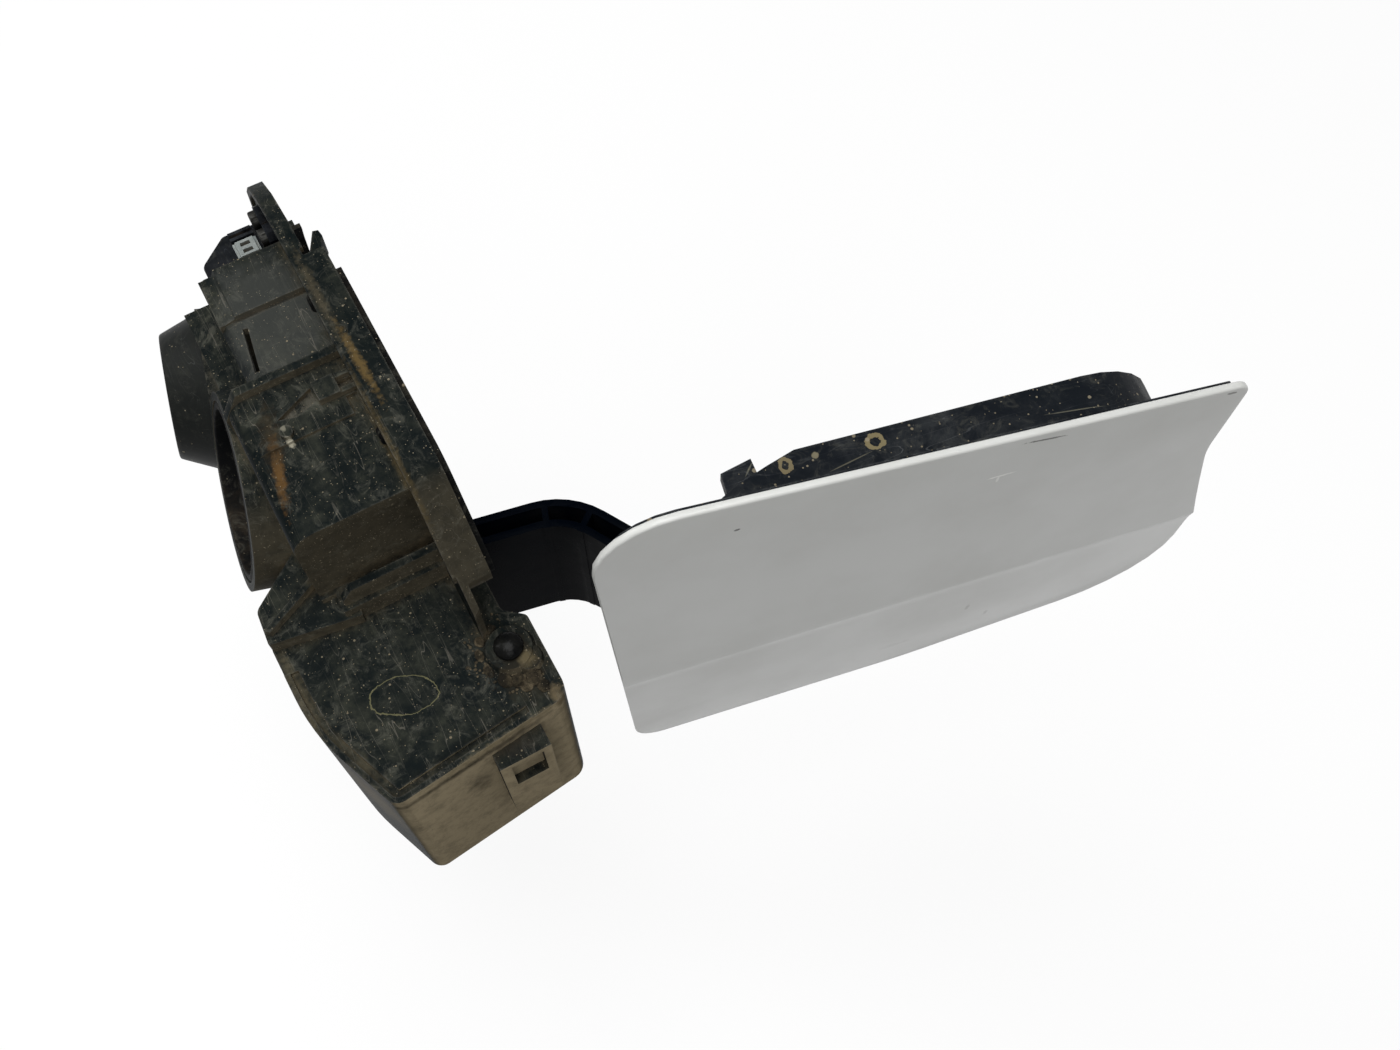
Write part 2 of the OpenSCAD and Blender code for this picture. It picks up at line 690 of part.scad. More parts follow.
module actuator_case() {
    color([0.06, 0.065, 0.08]) from_hinge() difference() {
        union() {
            along_z(act_z0, act_z1) actuator_outline(0);
            // Lugs that lie on the back of the rim's web
            for (p = act_screws)
                along_y(web_y + web_t, web_y + web_t + 2.5)
                    polygon([[p[0] - 3.4, act_z1 - 6], [p[0] + 3.4, act_z1 - 6], [p[0] + 3.4, p[1] + 1.6], [p[0] + 1.6, p[1] + 3.4], [p[0] - 1.6, p[1] + 3.4], [p[0] - 3.4, p[1] + 1.6]]);
            // Cooling ribs on the side that faces the rim
            for (x = [act_x0 + 1.6 : 3.2 : act_x1 - 2])
                box([x, web_y + web_t + 0.2, act_z0 + 1], [x + 1.2, act_y0 + 1, act_z1 - 1]);
        }
        along_z(act_z0 + act_t, act_z1 + 1) actuator_outline(act_t);
        translate([act_x0 - 2, bolt_y, bolt_z]) rotate([0, 90, 0]) cylinder(h = 6, r = bolt_d / 2 + run_gap);
        for (p = act_screws)
            translate([p[0], web_y, p[1]]) rotate([-90, 0, 0]) cylinder(h = 9, d = 3.2, $fn = 24);
    }
}

module actuator_cover() {
    color([0.07, 0.075, 0.09]) from_hinge() difference() {
        union() {
            along_z(act_z1, act_z1 + 1.6) difference() {
                actuator_outline(0);
                translate([act_screws[0][0] - 3.6, 0]) square([20, 7.8]);
            }
            along_z(act_z1 - 2, act_z1 + 0.1) difference() {
                actuator_outline(act_t + seat_gap);
                actuator_outline(act_t + seat_gap + 1.2);
            }
            for (x = [137.4, 139.4])
                box([x, 10.2, act_z1 + 1], [x + 1, 17, act_z1 + 3.4]);
        }
        box([plug_x - 0.1, 10.8, act_z1 - 4], [plug_x + 5.5, 16.4, act_z1 + 6]);
    }
}

module solenoid_coil() {
    color([0.72, 0.45, 0.2]) from_hinge() translate([0, bolt_y, bolt_z]) rotate([0, 90, 0])
        ring(armature_d / 2 + 1.9, armature_d / 2 + 0.3, act_x0 + act_t + 1.6, act_x0 + act_t + 8.4);
}

module actuator_connector() {
    color([0.75, 0.77, 0.76]) from_hinge() difference() {
        union() {
            box([plug_x, 10.9, act_z1 + 0.1], [plug_x + 5.4, 16.3, act_z1 + 4]);
            box([plug_x - 0.7, 10.1, act_z1 + 1.6], [plug_x + 6.1, 17.1, act_z1 + 2.6]);
        }
        for (x = [plug_x + 0.9, plug_x + 3.3])
            box([x, 12.2, act_z1 + 1.2], [x + 1.2, 15, act_z1 + 9]);
    }
}

module actuator_screws() {
    color([0.5, 0.5, 0.48]) from_hinge() for (p = act_screws)
        translate([p[0], 0, p[1]]) {
            translate([0, web_y + 0.2, 0]) rotate([-90, 0, 0]) cylinder(h = web_t + 2.6, d = 3, $fn = 24);
            translate([0, web_y + web_t + 2.5, 0]) rotate([-90, 0, 0]) cylinder(h = 2, d1 = 5.6, d2 = 4.6, $fn = 24);
        }
}

module lock_bolt() {
    arm_x = act_x0 + act_t + bolt_travel + 0.4;
    color([0.55, 0.55, 0.57]) from_hinge() translate([0, bolt_y, bolt_z]) rotate([0, 90, 0]) {
        translate([0, 0, bolt_tip_x]) cylinder(h = arm_x - bolt_tip_x, d = bolt_d);
        translate([0, 0, arm_x]) cylinder(h = armature_len, d = armature_d);
    }
}

// Gooseneck arm: two walls that follow one line, a web at half height, and cross ribs
module hinge_arm() {
    line = bent(arm_line, arm_bends);
    half = arm_w / 2;
    inner = half - arm_wall;
    color([0.03, 0.045, 0.085]) door_open() difference() {
        union() {
            intersection() {
                union() {
                    along_z(-arm_h / 2, arm_h / 2) {
                        polygon(band(line, half, inner));
                        polygon(band(line, -inner, -half));
                    }
                    along_z(-web_mid / 2, web_mid / 2) polygon(band(line, half, -half));
                    for (i = arm_rib_at)
                        let (p = line[i - 1], q = line[i + 1], m = (p + q) / 2, u = unit(q - p), v = left_of(p, q))
                        along_z(-arm_h / 2, arm_h / 2)
                            polygon([m + v * half - u * 0.9, m + v * half + u * 0.9, m - v * half + u * 0.9, m - v * half - u * 0.9]);
                }
                box([-40, -40, -arm_h], [80, 80, arm_h]);
            }
            cylinder(h = arm_h, d = hub_d, center = true);
            // Foot that seats on the back of the carrier
            along_z(-arm_h / 2, arm_h / 2)
                polygon([
                    [foot_x - foot_half, -9], [foot_x + foot_half, -9], [foot_x + foot_half, foot_t - 4],
                    [foot_x + 4, foot_t - 2], [foot_x - 4, foot_t + 2], [foot_x - foot_half, foot_t - 4]
                ]);
        }
        before_face(carrier_in);
        translate([0, 0, -arm_h]) cylinder(h = 2 * arm_h, r = pin_d / 2 + run_gap);
        translate([0, 0, knuckle_h - arm_h / 2]) cylinder(h = arm_h - 2 * knuckle_h, r = hub_d / 2 + 1);
    }
}

arm_rib_at = [7, 11, 16, 20];

module inner_carrier() {
    rib_top = latch_z - striker_out / 2 - 4;
    color([0.075, 0.075, 0.08]) door_open() difference() {
        union() {
            intersection() {
                along_y(-30, 10) polygon(rounded(panel_pts, panel_rad, 3));
                difference() {
                    before_face(carrier_in);
                    before_face(panel_in);
                }
            }
            difference() {
                along_y(-30, dish_reach) difference() {
                    polygon(rounded(dish_pts, dish_rad));
                    polygon(rounded(dish_pts, dish_rad, dish_wall));
                }
                before_face(panel_in);
                box([40, -20, -arm_h / 2 - 0.3], [foot_x + foot_half + 0.3, 20, arm_h / 2 + 0.3]);
                along_z(-far, far)
                    polygon([[0, -9.5], [ramp_x + 1.8, -9.5], [ramp_x + 2.2, -2.6], [ramp_x + ramp_len, dish_reach - 2.4], [ramp_x + ramp_len + 8, dish_reach + 0.1], [ramp_x + ramp_len + 8, 60], [0, 60]]);
            }
            // Stiffening ribs on the inside of the dish
            for (r = [[84, -22, rib_top], [102, -22, rib_top], [136, -18, rib_top], [152, -8, rib_top - 6]])
                difference() {
                    box([r[0], -30, r[1]], [r[0] + 1.6, -1.2, r[2]]);
                    before_face(panel_in);
                }
            for (r = [[-22, 138], [10, 158], [rib_top - 2, 146]])
                difference() {
                    box([78, -30, r[0]], [r[1], -1.8, r[0] + 1.6]);
                    before_face(panel_in);
                }
            // Small lug on the ramp
            along_z(panel_top - 13, panel_top - 9.4) polygon([[59.2, -3], [67.9, -1], [67.3, 6], [59.3, 4.2]]);
        }
        // Slots of the panel clips
        for (p = clip_at)
            box([p[0] - 3.2, -20, p[1] - 1.4], [p[0] + 3.2, 2, p[1] + 1.4]);
    }
}

clip_at = [[70, 78], [160, 74], [88, -28], [148, -14]];

module outer_panel() {
    color([0.82, 0.82, 0.8]) door_open() intersection() {
        along_y(-30, 10) polygon(rounded(panel_pts, panel_rad));
        difference() {
            before_face(panel_t);
            before_face(0);
        }
    }
}

// Box on the carrier that the turning head locks into
module striker_box() {
    half = striker_out / 2;
    cav = striker_in / 2;
    color([0.09, 0.09, 0.095]) door_open() difference() {
        translate([latch_x, 0, latch_z])
            box([-half, -30, -half], [half, striker_lip_y + striker_lip_t, half]);
        before_face(carrier_in);
        translate([latch_x, 0, latch_z]) {
            box([-cav, head_y - plunger_travel - 0.6, -cav], [cav, striker_lip_y, cav]);
            box([-cav, 0, -striker_slot / 2], [cav, 20, striker_slot / 2]);
        }
    }
}

// Spring clips that hold the painted panel on the carrier
module panel_clips() {
    color([0.6, 0.6, 0.58]) door_open() for (p = clip_at)
        difference() {
            box([p[0] - 3, -20, p[1] - 1.2], [p[0] + 3, 1.2, p[1] + 1.2]);
            before_face(panel_in);
            box([p[0] - 2, -20, p[1] - 0.5], [p[0] + 2, 0, p[1] + 0.5]);
        }
}

bowl_housing();
rim_seal();
fuel_neck_seal();
second_neck_boot();
hinge_pin();
hinge_spring();
stop_buffers();
latch_case();
latch_spring();
actuator_case();
actuator_cover();
solenoid_coil();
actuator_connector();
actuator_screws();
latch_plunger();
latch_head();
lock_bolt();
hinge_arm();
inner_carrier();
outer_panel();
striker_box();
panel_clips();
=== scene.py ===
"""Looks of a car's fuel filler flap unit: worn moulded bowl, gloss arm, dished carrier, chipped painted panel."""
import json
import logging
import math
import random
from dataclasses import dataclass
from enum import Enum

import bpy
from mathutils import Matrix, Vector

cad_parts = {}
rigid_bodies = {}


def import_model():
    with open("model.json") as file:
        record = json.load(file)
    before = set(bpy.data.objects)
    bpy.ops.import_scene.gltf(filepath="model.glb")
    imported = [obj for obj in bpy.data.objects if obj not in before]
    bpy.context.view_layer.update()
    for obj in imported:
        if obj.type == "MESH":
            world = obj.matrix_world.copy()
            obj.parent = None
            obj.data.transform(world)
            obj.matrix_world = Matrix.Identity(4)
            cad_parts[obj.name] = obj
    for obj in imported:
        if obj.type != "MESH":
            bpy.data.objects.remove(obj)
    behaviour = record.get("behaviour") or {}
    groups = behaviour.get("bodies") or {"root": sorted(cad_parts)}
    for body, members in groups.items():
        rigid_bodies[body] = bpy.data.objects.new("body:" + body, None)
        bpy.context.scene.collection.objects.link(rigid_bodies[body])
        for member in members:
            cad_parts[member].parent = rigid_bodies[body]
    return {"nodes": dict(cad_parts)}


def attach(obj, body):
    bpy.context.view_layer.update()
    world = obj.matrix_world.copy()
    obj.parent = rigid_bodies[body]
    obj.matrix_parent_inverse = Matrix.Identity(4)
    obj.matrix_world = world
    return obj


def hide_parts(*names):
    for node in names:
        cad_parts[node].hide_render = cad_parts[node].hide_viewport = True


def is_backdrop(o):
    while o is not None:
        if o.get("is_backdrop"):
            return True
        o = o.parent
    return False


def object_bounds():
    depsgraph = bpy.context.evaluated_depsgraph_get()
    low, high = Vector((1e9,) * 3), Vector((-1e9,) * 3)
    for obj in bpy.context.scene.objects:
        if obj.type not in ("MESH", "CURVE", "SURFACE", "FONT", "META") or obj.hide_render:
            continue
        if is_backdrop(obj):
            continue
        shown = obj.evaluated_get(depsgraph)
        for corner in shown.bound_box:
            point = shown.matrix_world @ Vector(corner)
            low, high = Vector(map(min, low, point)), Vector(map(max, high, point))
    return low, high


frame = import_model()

LOG = logging.getLogger("filler_flap")
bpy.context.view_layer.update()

# The layout's hinge axis in the row frame, in millimetres
HINGE = (-80.5, -47.5, -35.0)
OPEN_DEG = 102.0

# Points of a mesh closer than this are one point
MERGE_M = 0.00002

# Rays of each ambient occlusion node, which finds corners, and outer edges for their wear and painted highlight
CORNER_RAYS = 5

# Soils and dusts that lie on more than one piece
DAMP_SOIL = "4c3f2c"
DRY_SPLASH = "6d6c62"
CRUMB_PALE = "8f8a78"
CRUMB_BROWN = "6f5f48"
GREY_DUST = "56544c"
PAINT_HAZE = "b1b0a9"
PRIMER = "6c6b66"


def at(x: float, y: float, z: float) -> Vector:
    """Point of the hinge layout, given in millimetres, as a point of the row frame in metres."""
    return (Vector(HINGE) + Vector((x, y, z))) / 1000.0


def linear(hex_code: str) -> tuple[float, float, float, float]:
    """Turns an sRGB hex colour to linear light.

    Args:
        hex_code: six hex digits, with or without a leading hash.

    Returns:
        Red, green, blue and an alpha of one.
    """
    digits = hex_code.lstrip("#")
    parts = [int(digits[i:i + 2], 16) / 255.0 for i in (0, 2, 4)]
    return (*[p / 12.92 if p <= 0.04045 else ((p + 0.055) / 1.055) ** 2.4 for p in parts], 1.0)


def add(tree: bpy.types.NodeTree, kind: str, inputs: dict | None = None, **settings) -> bpy.types.Node:
    """Adds one node with its settings, and fills or links its inputs.

    Args:
        tree: node tree that gets the node.
        kind: type name of the node.
        inputs: socket name or index against a plain value or an output socket.
        settings: attributes of the node itself.

    Returns:
        The new node.
    """
    made = tree.nodes.new(kind)
    for name, value in settings.items():
        setattr(made, name, value)
    for key, value in (inputs or {}).items():
        if isinstance(value, bpy.types.NodeSocket):
            tree.links.new(value, made.inputs[key])
        else:
            made.inputs[key].default_value = value
    return made


def calc(tree: bpy.types.NodeTree, operation: str, *values: float | bpy.types.NodeSocket, clamp: bool = False
         ) -> bpy.types.NodeSocket:
    """Works out one sum.

    Args:
        tree: node tree that gets the node.
        operation: Blender's name of the sum.
        values: plain values or sockets, in order.
        clamp: whether the result stays between nought and one.

    Returns:
        The result.
    """
    return add(tree, "ShaderNodeMath", dict(enumerate(values)), operation=operation, use_clamp=clamp).outputs[0]


def ramp(tree: bpy.types.NodeTree, value: bpy.types.NodeSocket, low: float, high: float, at_low: float,
         at_high: float) -> bpy.types.NodeSocket:
    """Runs straight from one value to another, and stays level beyond both ends.

    Args:
        tree: node tree that gets the node.
        value: what the ramp follows.
        low: where it starts.
        high: where it ends.
        at_low: its value at the start.
        at_high: its value at the end.

    Returns:
        The ramp's value.
    """
    return add(tree, "ShaderNodeMapRange", {"Value": value, 1: low, 2: high, 3: at_low, 4: at_high}).outputs[0]


def mix(tree: bpy.types.NodeTree, share: bpy.types.NodeSocket, below: str | tuple | bpy.types.NodeSocket,
        above: str | tuple | bpy.types.NodeSocket) -> bpy.types.NodeSocket:
    """Lays one colour over another.

    Args:
        tree: node tree that gets the node.
        share: how much of the upper colour shows.
        below: the lower colour: sRGB hex digits, linear values or a socket.
        above: the upper colour, given in the same way.

    Returns:
        The mixed colour.
    """
    lower, upper = [linear(colour) if isinstance(colour, str) else colour for colour in (below, above)]
    return add(tree, "ShaderNodeMix", {0: share, 6: lower, 7: upper}, data_type="RGBA").outputs[2]


def noise(tree: bpy.types.NodeTree, place: bpy.types.NodeSocket, size_mm: float, detail: float,
          roughness: float = 0.5, distortion: float = 0.0) -> bpy.types.NodeSocket:
    """Cloudy noise.

    Args:
        tree: node tree that gets the node.
        place: coordinates in millimetres.
        size_mm: size of its broadest clouds.
        detail: how many finer octaves it has.
        roughness: how strong the finer octaves are.
        distortion: how far the clouds are drawn about.

    Returns:
        Its value, from nought to one.
    """
    return add(tree, "ShaderNodeTexNoise", {"Vector": place, "Scale": 1.0 / size_mm, "Detail": detail,
                                            "Roughness": roughness, "Distortion": distortion}).outputs["Fac"]


def openness(tree: bpy.types.NodeTree, reach_mm: float, inside: bool = False) -> bpy.types.NodeSocket:
    """How open the surface lies: one on a flat, less in a corner.

    Args:
        tree: node tree that gets the node.
        reach_mm: how far it looks.
        inside: whether it looks into the material, which finds outer edges instead.

    Returns:
        The share that is open.
    """
    return add(tree, "ShaderNodeAmbientOcclusion", {"Distance": reach_mm / 1000.0}, samples=CORNER_RAYS,
               inside=inside, only_local=True).outputs["AO"]


def fresh_material(name: str, swung: bool = False
                   ) -> tuple[bpy.types.Material, bpy.types.NodeTree, bpy.types.NodeSocket]:
    """Makes an empty material.

    Args:
        name: name of the material.
        swung: whether the piece belongs to the door, whose layout is the closed one.

    Returns:
        The material, its tree, and the hinge layout's coordinates in millimetres.
    """
    material = bpy.data.materials.new(name)
    material.use_nodes = True
    tree = material.node_tree
    tree.nodes.clear()
    place = add(tree, "ShaderNodeTexCoord").outputs["Object"]
    layout = add(tree, "ShaderNodeMapping", {
        "Vector": place, "Location": tuple(v / 1000.0 for v in HINGE), "Scale": (0.001, 0.001, 0.001),
        "Rotation": (0.0, 0.0, math.radians(-OPEN_DEG) if swung else 0.0)}, vector_type="TEXTURE")
    return material, tree, layout.outputs["Vector"]


class Body(Enum):
    """Rigid bodies of the unit."""

    BOWL = "bowl"
    DOOR = "door"
    PLUNGER = "plunger"
    HEAD = "head"
    BOLT = "bolt"


@dataclass(frozen=True)
class Spot:
    """One stain, chip, scratch or drawn line: an ellipsoid, or its rim, in which the surface wears another colour."""

    colour: str
    centre: tuple[float, float, float]
    reach: tuple[float, float, float]
    turn_deg: tuple[float, float, float] = (0.0, 0.0, 0.0)
    strength: float = 0.8
    soft: float = 0.5
    ragged: float = 0.35
    grain_mm: float = 5.0
    rim: float = 0.0

    def over(self, tree: bpy.types.NodeTree, place: bpy.types.NodeSocket, below: bpy.types.NodeSocket
             ) -> bpy.types.NodeSocket:
        """Lays the spot over a colour.

        Args:
            tree: the material's tree.
            place: the layout's coordinates in millimetres.
            below: the colour under the spot.

        Returns:
            The colour with the spot in it.
        """
        local = add(tree, "ShaderNodeMapping", {
            "Vector": place, "Location": self.centre, "Scale": self.reach,
            "Rotation": tuple(math.radians(a) for a in self.turn_deg)}, vector_type="TEXTURE").outputs[0]
        far = add(tree, "ShaderNodeVectorMath", {0: local}, operation="LENGTH").outputs["Value"]
        pushed = calc(tree, "MULTIPLY_ADD", noise(tree, place, self.grain_mm, 5.0, 0.6), 2.0 * self.ragged, far)
        limit = 1.0 + self.ragged
        if self.rim:
            share = calc(tree, "MULTIPLY", calc(tree, "COMPARE", pushed, limit, self.rim), self.strength)
        else:
            share = ramp(tree, pushed, limit, limit - self.soft, 0.0, self.strength)
        return mix(tree, share, below, self.colour)


@dataclass(frozen=True)
class WeatheredMoulding:
    """Injection moulded plastic from beside a wheel arch: dull, dusty, strewn with crumbs and scratched, its outer
    edges paled partly by wear and partly by painted highlight.
    """

    name: str
    plastic: str
    dust: str
    mud: str
    rubbed_and_highlit: str = "4a4b49"
    roughness: float = 0.5
    shine: float = 0.25
    dust_on_top: float = 0.35
    dust_in_corners: float = 0.6
    mud_on_sides: float = 0.0
    edge_wear_and_highlight: float = 0.5
    scratches: float = 0.5
    crumbs: float = 0.5
    grain_mm: float = 0.7
    blotch_mm: float = 20.0
    crumb_mm: float = 2.2
    bump_mm: float = 0.06
    crevice: float = 0.5
    smudges: float = 0.3
    smudge_mm: float = 7.0
    corner_mm: float = 6.0
    edge_mm: float = 0.9
    swung: bool = False
    spots: tuple[Spot, ...] = ()

    def crumb_layer(self, tree: bpy.types.NodeTree, place: bpy.types.NodeSocket, cell_mm: float, share: float
                    ) -> bpy.types.NodeSocket:
        """Scattered dried crumbs of one size.

        Args:
            tree: the material's tree.
            place: the layout's coordinates in millimetres.
            cell_mm: mean distance of the cells that may hold a crumb.
            share: part of the cells that hold one.

        Returns:
            One on a crumb, nought between them.
        """
        cells = add(tree, "ShaderNodeTexVoronoi", {"Vector": place, "Scale": 1.0 / cell_mm, "Randomness": 1.0})
        pick = add(tree, "ShaderNodeSeparateColor", {0: cells.outputs["Color"]}).outputs
        inside = calc(tree, "LESS_THAN", cells.outputs["Distance"], ramp(tree, pick[1], 0.0, 1.0, 0.06, 0.22))
        return calc(tree, "MULTIPLY", inside, calc(tree, "LESS_THAN", pick[0], share))

    def scratch_layer(self, tree: bpy.types.NodeTree, place: bpy.types.NodeSocket, turn_deg: float, narrow: float
                      ) -> bpy.types.NodeSocket:
        """Long fine scratches in one main direction: the contour lines of a drawn-out noise.

        Args:
            tree: the material's tree.
            place: the layout's coordinates in millimetres.
            turn_deg: direction of the scratches about all three axes.
            narrow: width of a scratch on the noise's own scale.

        Returns:
            One in a scratch, nought beside it.
        """
        turn = math.radians(turn_deg)
        drawn = add(tree, "ShaderNodeMapping", {"Vector": place, "Rotation": (turn, turn * 0.6, turn),
                                                "Scale": (0.016, 0.22, 0.22)}).outputs[0]
        return calc(tree, "COMPARE", noise(tree, drawn, 1.0, 1.5), 0.5, narrow)

    def build(self) -> bpy.types.Material:
        """Builds the material.

        Returns:
            The finished material.
        """
        material, tree, place = fresh_material(self.name, self.swung)
        facing = add(tree, "ShaderNodeSeparateXYZ", {0: add(tree, "ShaderNodeTexCoord").outputs["Normal"]}).outputs
        # Grain of the mould, broad blotches of dust, and the smears within them
        grain = noise(tree, place, self.grain_mm, 3.0, 0.65)
        blotch = noise(tree, place, self.blotch_mm, 8.0, 0.64, 0.8)
        smear = noise(tree, place, self.blotch_mm / 4.0, 8.0, 0.72)
        patch = ramp(tree, blotch, 0.4, 0.64, 0.08, 1.0)
        fine = ramp(tree, smear, 0.4, 0.64, 0.1, 1.5)
        # Corners that rain doesn't reach, found within a few millimetres, hold dust, and the deepest hold soil
        open_sky = openness(tree, self.corner_mm)
        shut = ramp(tree, open_sky, 0.9, 0.35, 0.0, self.dust_in_corners)
        ledge = ramp(tree, facing["Z"], 0.4, 1.0, 0.0, self.dust_on_top)
        film = calc(tree, "MULTIPLY", calc(tree, "MULTIPLY_ADD", ledge, patch, shut), fine, clamp=True)
        nook = ramp(tree, open_sky, 0.62, 0.25, 0.0, self.crevice)
        colour = mix(tree, film, self.plastic, self.dust)
        colour = mix(tree, calc(tree, "MULTIPLY", nook, fine, clamp=True), colour, DAMP_SOIL)
        # Pale smudges where spray dried
        haze = noise(tree, place, self.smudge_mm, 10.0, 0.78, 1.5)
        colour = mix(tree, ramp(tree, haze, 0.52, 0.72, 0.0, self.smudges), colour, DRY_SPLASH)
        # Splashed soil cakes the walls that face -X, most of all beyond the hinge
        side = ramp(tree, facing["X"], -0.55, -0.9, 0.0, self.mud_on_sides)
        along = add(tree, "ShaderNodeSeparateXYZ", {0: place}).outputs["X"]
        splashed = ramp(tree, along, 2.0, -10.0, 0.18, 1.0)
        thick = calc(tree, "MULTIPLY", ramp(tree, smear, 0.3, 0.56, 0.6, 1.0), splashed)
        muddy = calc(tree, "MULTIPLY", side, thick)
        colour = mix(tree, muddy, colour, self.mud)
        for spot in self.spots:
            colour = spot.over(tree, place, colour)
        # Outer edges paled, partly by wear and partly as a painted edge highlight, and two directions of fine
        # scratches, drawn about twice as wide as real ones to show
        corner = ramp(tree, openness(tree, self.edge_mm, True), 0.75, 0.35, 0.0, self.edge_wear_and_highlight)
        edge_wear_and_highlight_mask = calc(tree, "MULTIPLY", corner, fine, clamp=True)
        one_way = self.scratch_layer(tree, place, 35.0, 0.0024)
        lines = calc(tree, "MAXIMUM", one_way, self.scratch_layer(tree, place, -50.0, 0.002))
        cut = calc(tree, "MULTIPLY", lines, patch)
        rubbed_and_highlit = calc(tree, "MULTIPLY_ADD", cut, self.scratches, edge_wear_and_highlight_mask, clamp=True)
        # The pale colour on the outer edges is partly a painted highlight; the scratches are real wear
        colour = mix(tree, rubbed_and_highlit, colour, self.rubbed_and_highlit)
        # Dried crumbs in two sizes
        coarse = self.crumb_layer(tree, place, self.crumb_mm, self.crumbs * 0.16)
        crumbs = calc(tree, "MAXIMUM", coarse,
                      self.crumb_layer(tree, place, self.crumb_mm * 0.45, self.crumbs * 0.45))
        tint = mix(tree, blotch, CRUMB_PALE, CRUMB_BROWN)
        colour = mix(tree, calc(tree, "MULTIPLY", crumbs, 0.75), colour, tint)
        # Dust takes the sheen away, and dust, soil and crumbs stand up from the mould's own grain
        dull = calc(tree, "MAXIMUM", film, muddy)
        rough = ramp(tree, dull, 0.0, 0.6, self.roughness, 0.95)
        height = calc(tree, "MULTIPLY_ADD", grain, 0.35, calc(tree, "MULTIPLY", smear, dull))
        raised = calc(tree, "MULTIPLY_ADD", crumbs, 1.5, height)
        bump = add(tree, "ShaderNodeBump", {"Strength": 0.6, "Distance": self.bump_mm / 1000.0, "Height": raised}
                   ).outputs[0]
        shader = add(tree, "ShaderNodeBsdfPrincipled", {"Base Color": colour, "Roughness": rough, "Normal": bump,
                                                        "IOR": 1.5, "Specular IOR Level": self.shine})
        add(tree, "ShaderNodeOutputMaterial", {"Surface": shader.outputs[0]})
        return material


@dataclass(frozen=True)
class GlossMoulding:
    """Moulded plastic from a polished tool: deep blue-black and glossy, with a little dust and fine rub marks."""

    name: str
    plastic: str
    roughness: float = 0.2
    shine: float = 0.3
    dust: float = 0.1
    haze_mm: float = 12.0
    rub_mm: float = 5.0
    corner_mm: float = 5.0
    swung: bool = False

    def build(self) -> bpy.types.Material:
        """Builds the material.

        Returns:
            The finished material.
        """
        material, tree, place = fresh_material(self.name, self.swung)
        haze = noise(tree, place, self.haze_mm, 7.0, 0.65)
        caught = ramp(tree, openness(tree, self.corner_mm), 0.8, 0.2, 0.0, self.dust * 2.0)
        film = ramp(tree, haze, 0.48, 0.75, 0.0, self.dust)
        colour = mix(tree, calc(tree, "ADD", film, caught, clamp=True), self.plastic, GREY_DUST)
        rough = ramp(tree, noise(tree, place, self.rub_mm, 6.0, 0.6), 0.35, 0.7, self.roughness, self.roughness + 0.1)
        bump = add(tree, "ShaderNodeBump", {"Strength": 0.05, "Distance": 0.0001, "Height": haze}).outputs[0]
        shader = add(tree, "ShaderNodeBsdfPrincipled", {"Base Color": colour, "Roughness": rough, "Normal": bump,
                                                        "IOR": 1.5, "Specular IOR Level": self.shine})
        add(tree, "ShaderNodeOutputMaterial", {"Surface": shader.outputs[0]})
        return material


@dataclass(frozen=True)
class BodyPaint:
    """Light grey solid paint under clear lacquer: even and glossy, with chips to the primer, a scratch and scuffs."""

    name: str
    colour: str = "cdcecb"
    roughness: float = 0.3
    cloud_mm: float = 40.0
    nick_mm: float = 3.2
    edge_mm: float = 0.8
    spots: tuple[Spot, ...] = ()

    def build(self) -> bpy.types.Material:
        """Builds the material.

        Returns:
            The finished material.
        """
        material, tree, place = fresh_material(self.name, True)
        cloud = noise(tree, place, self.cloud_mm, 6.0, 0.6)
        colour = mix(tree, ramp(tree, cloud, 0.42, 0.72, 0.0, 0.22), self.colour, PAINT_HAZE)
        edge = ramp(tree, openness(tree, self.edge_mm, True), 0.7, 0.3, 0.0, 1.0)
        struck = ramp(tree, noise(tree, place, self.nick_mm, 6.0, 0.75), 0.62, 0.68, 0.0, 0.8)
        colour = mix(tree, calc(tree, "MULTIPLY", edge, struck, clamp=True), colour, PRIMER)
        for spot in self.spots:
            colour = spot.over(tree, place, colour)
        rough = ramp(tree, cloud, 0.3, 0.75, self.roughness, self.roughness + 0.12)
        shader = add(tree, "ShaderNodeBsdfPrincipled", {"Base Color": colour, "Roughness": rough, "IOR": 1.5,
                                                        "Specular IOR Level": 0.35, "Coat Weight": 0.25,
                                                        "Coat Roughness": 0.12})
        add(tree, "ShaderNodeOutputMaterial", {"Surface": shader.outputs[0]})
        return material


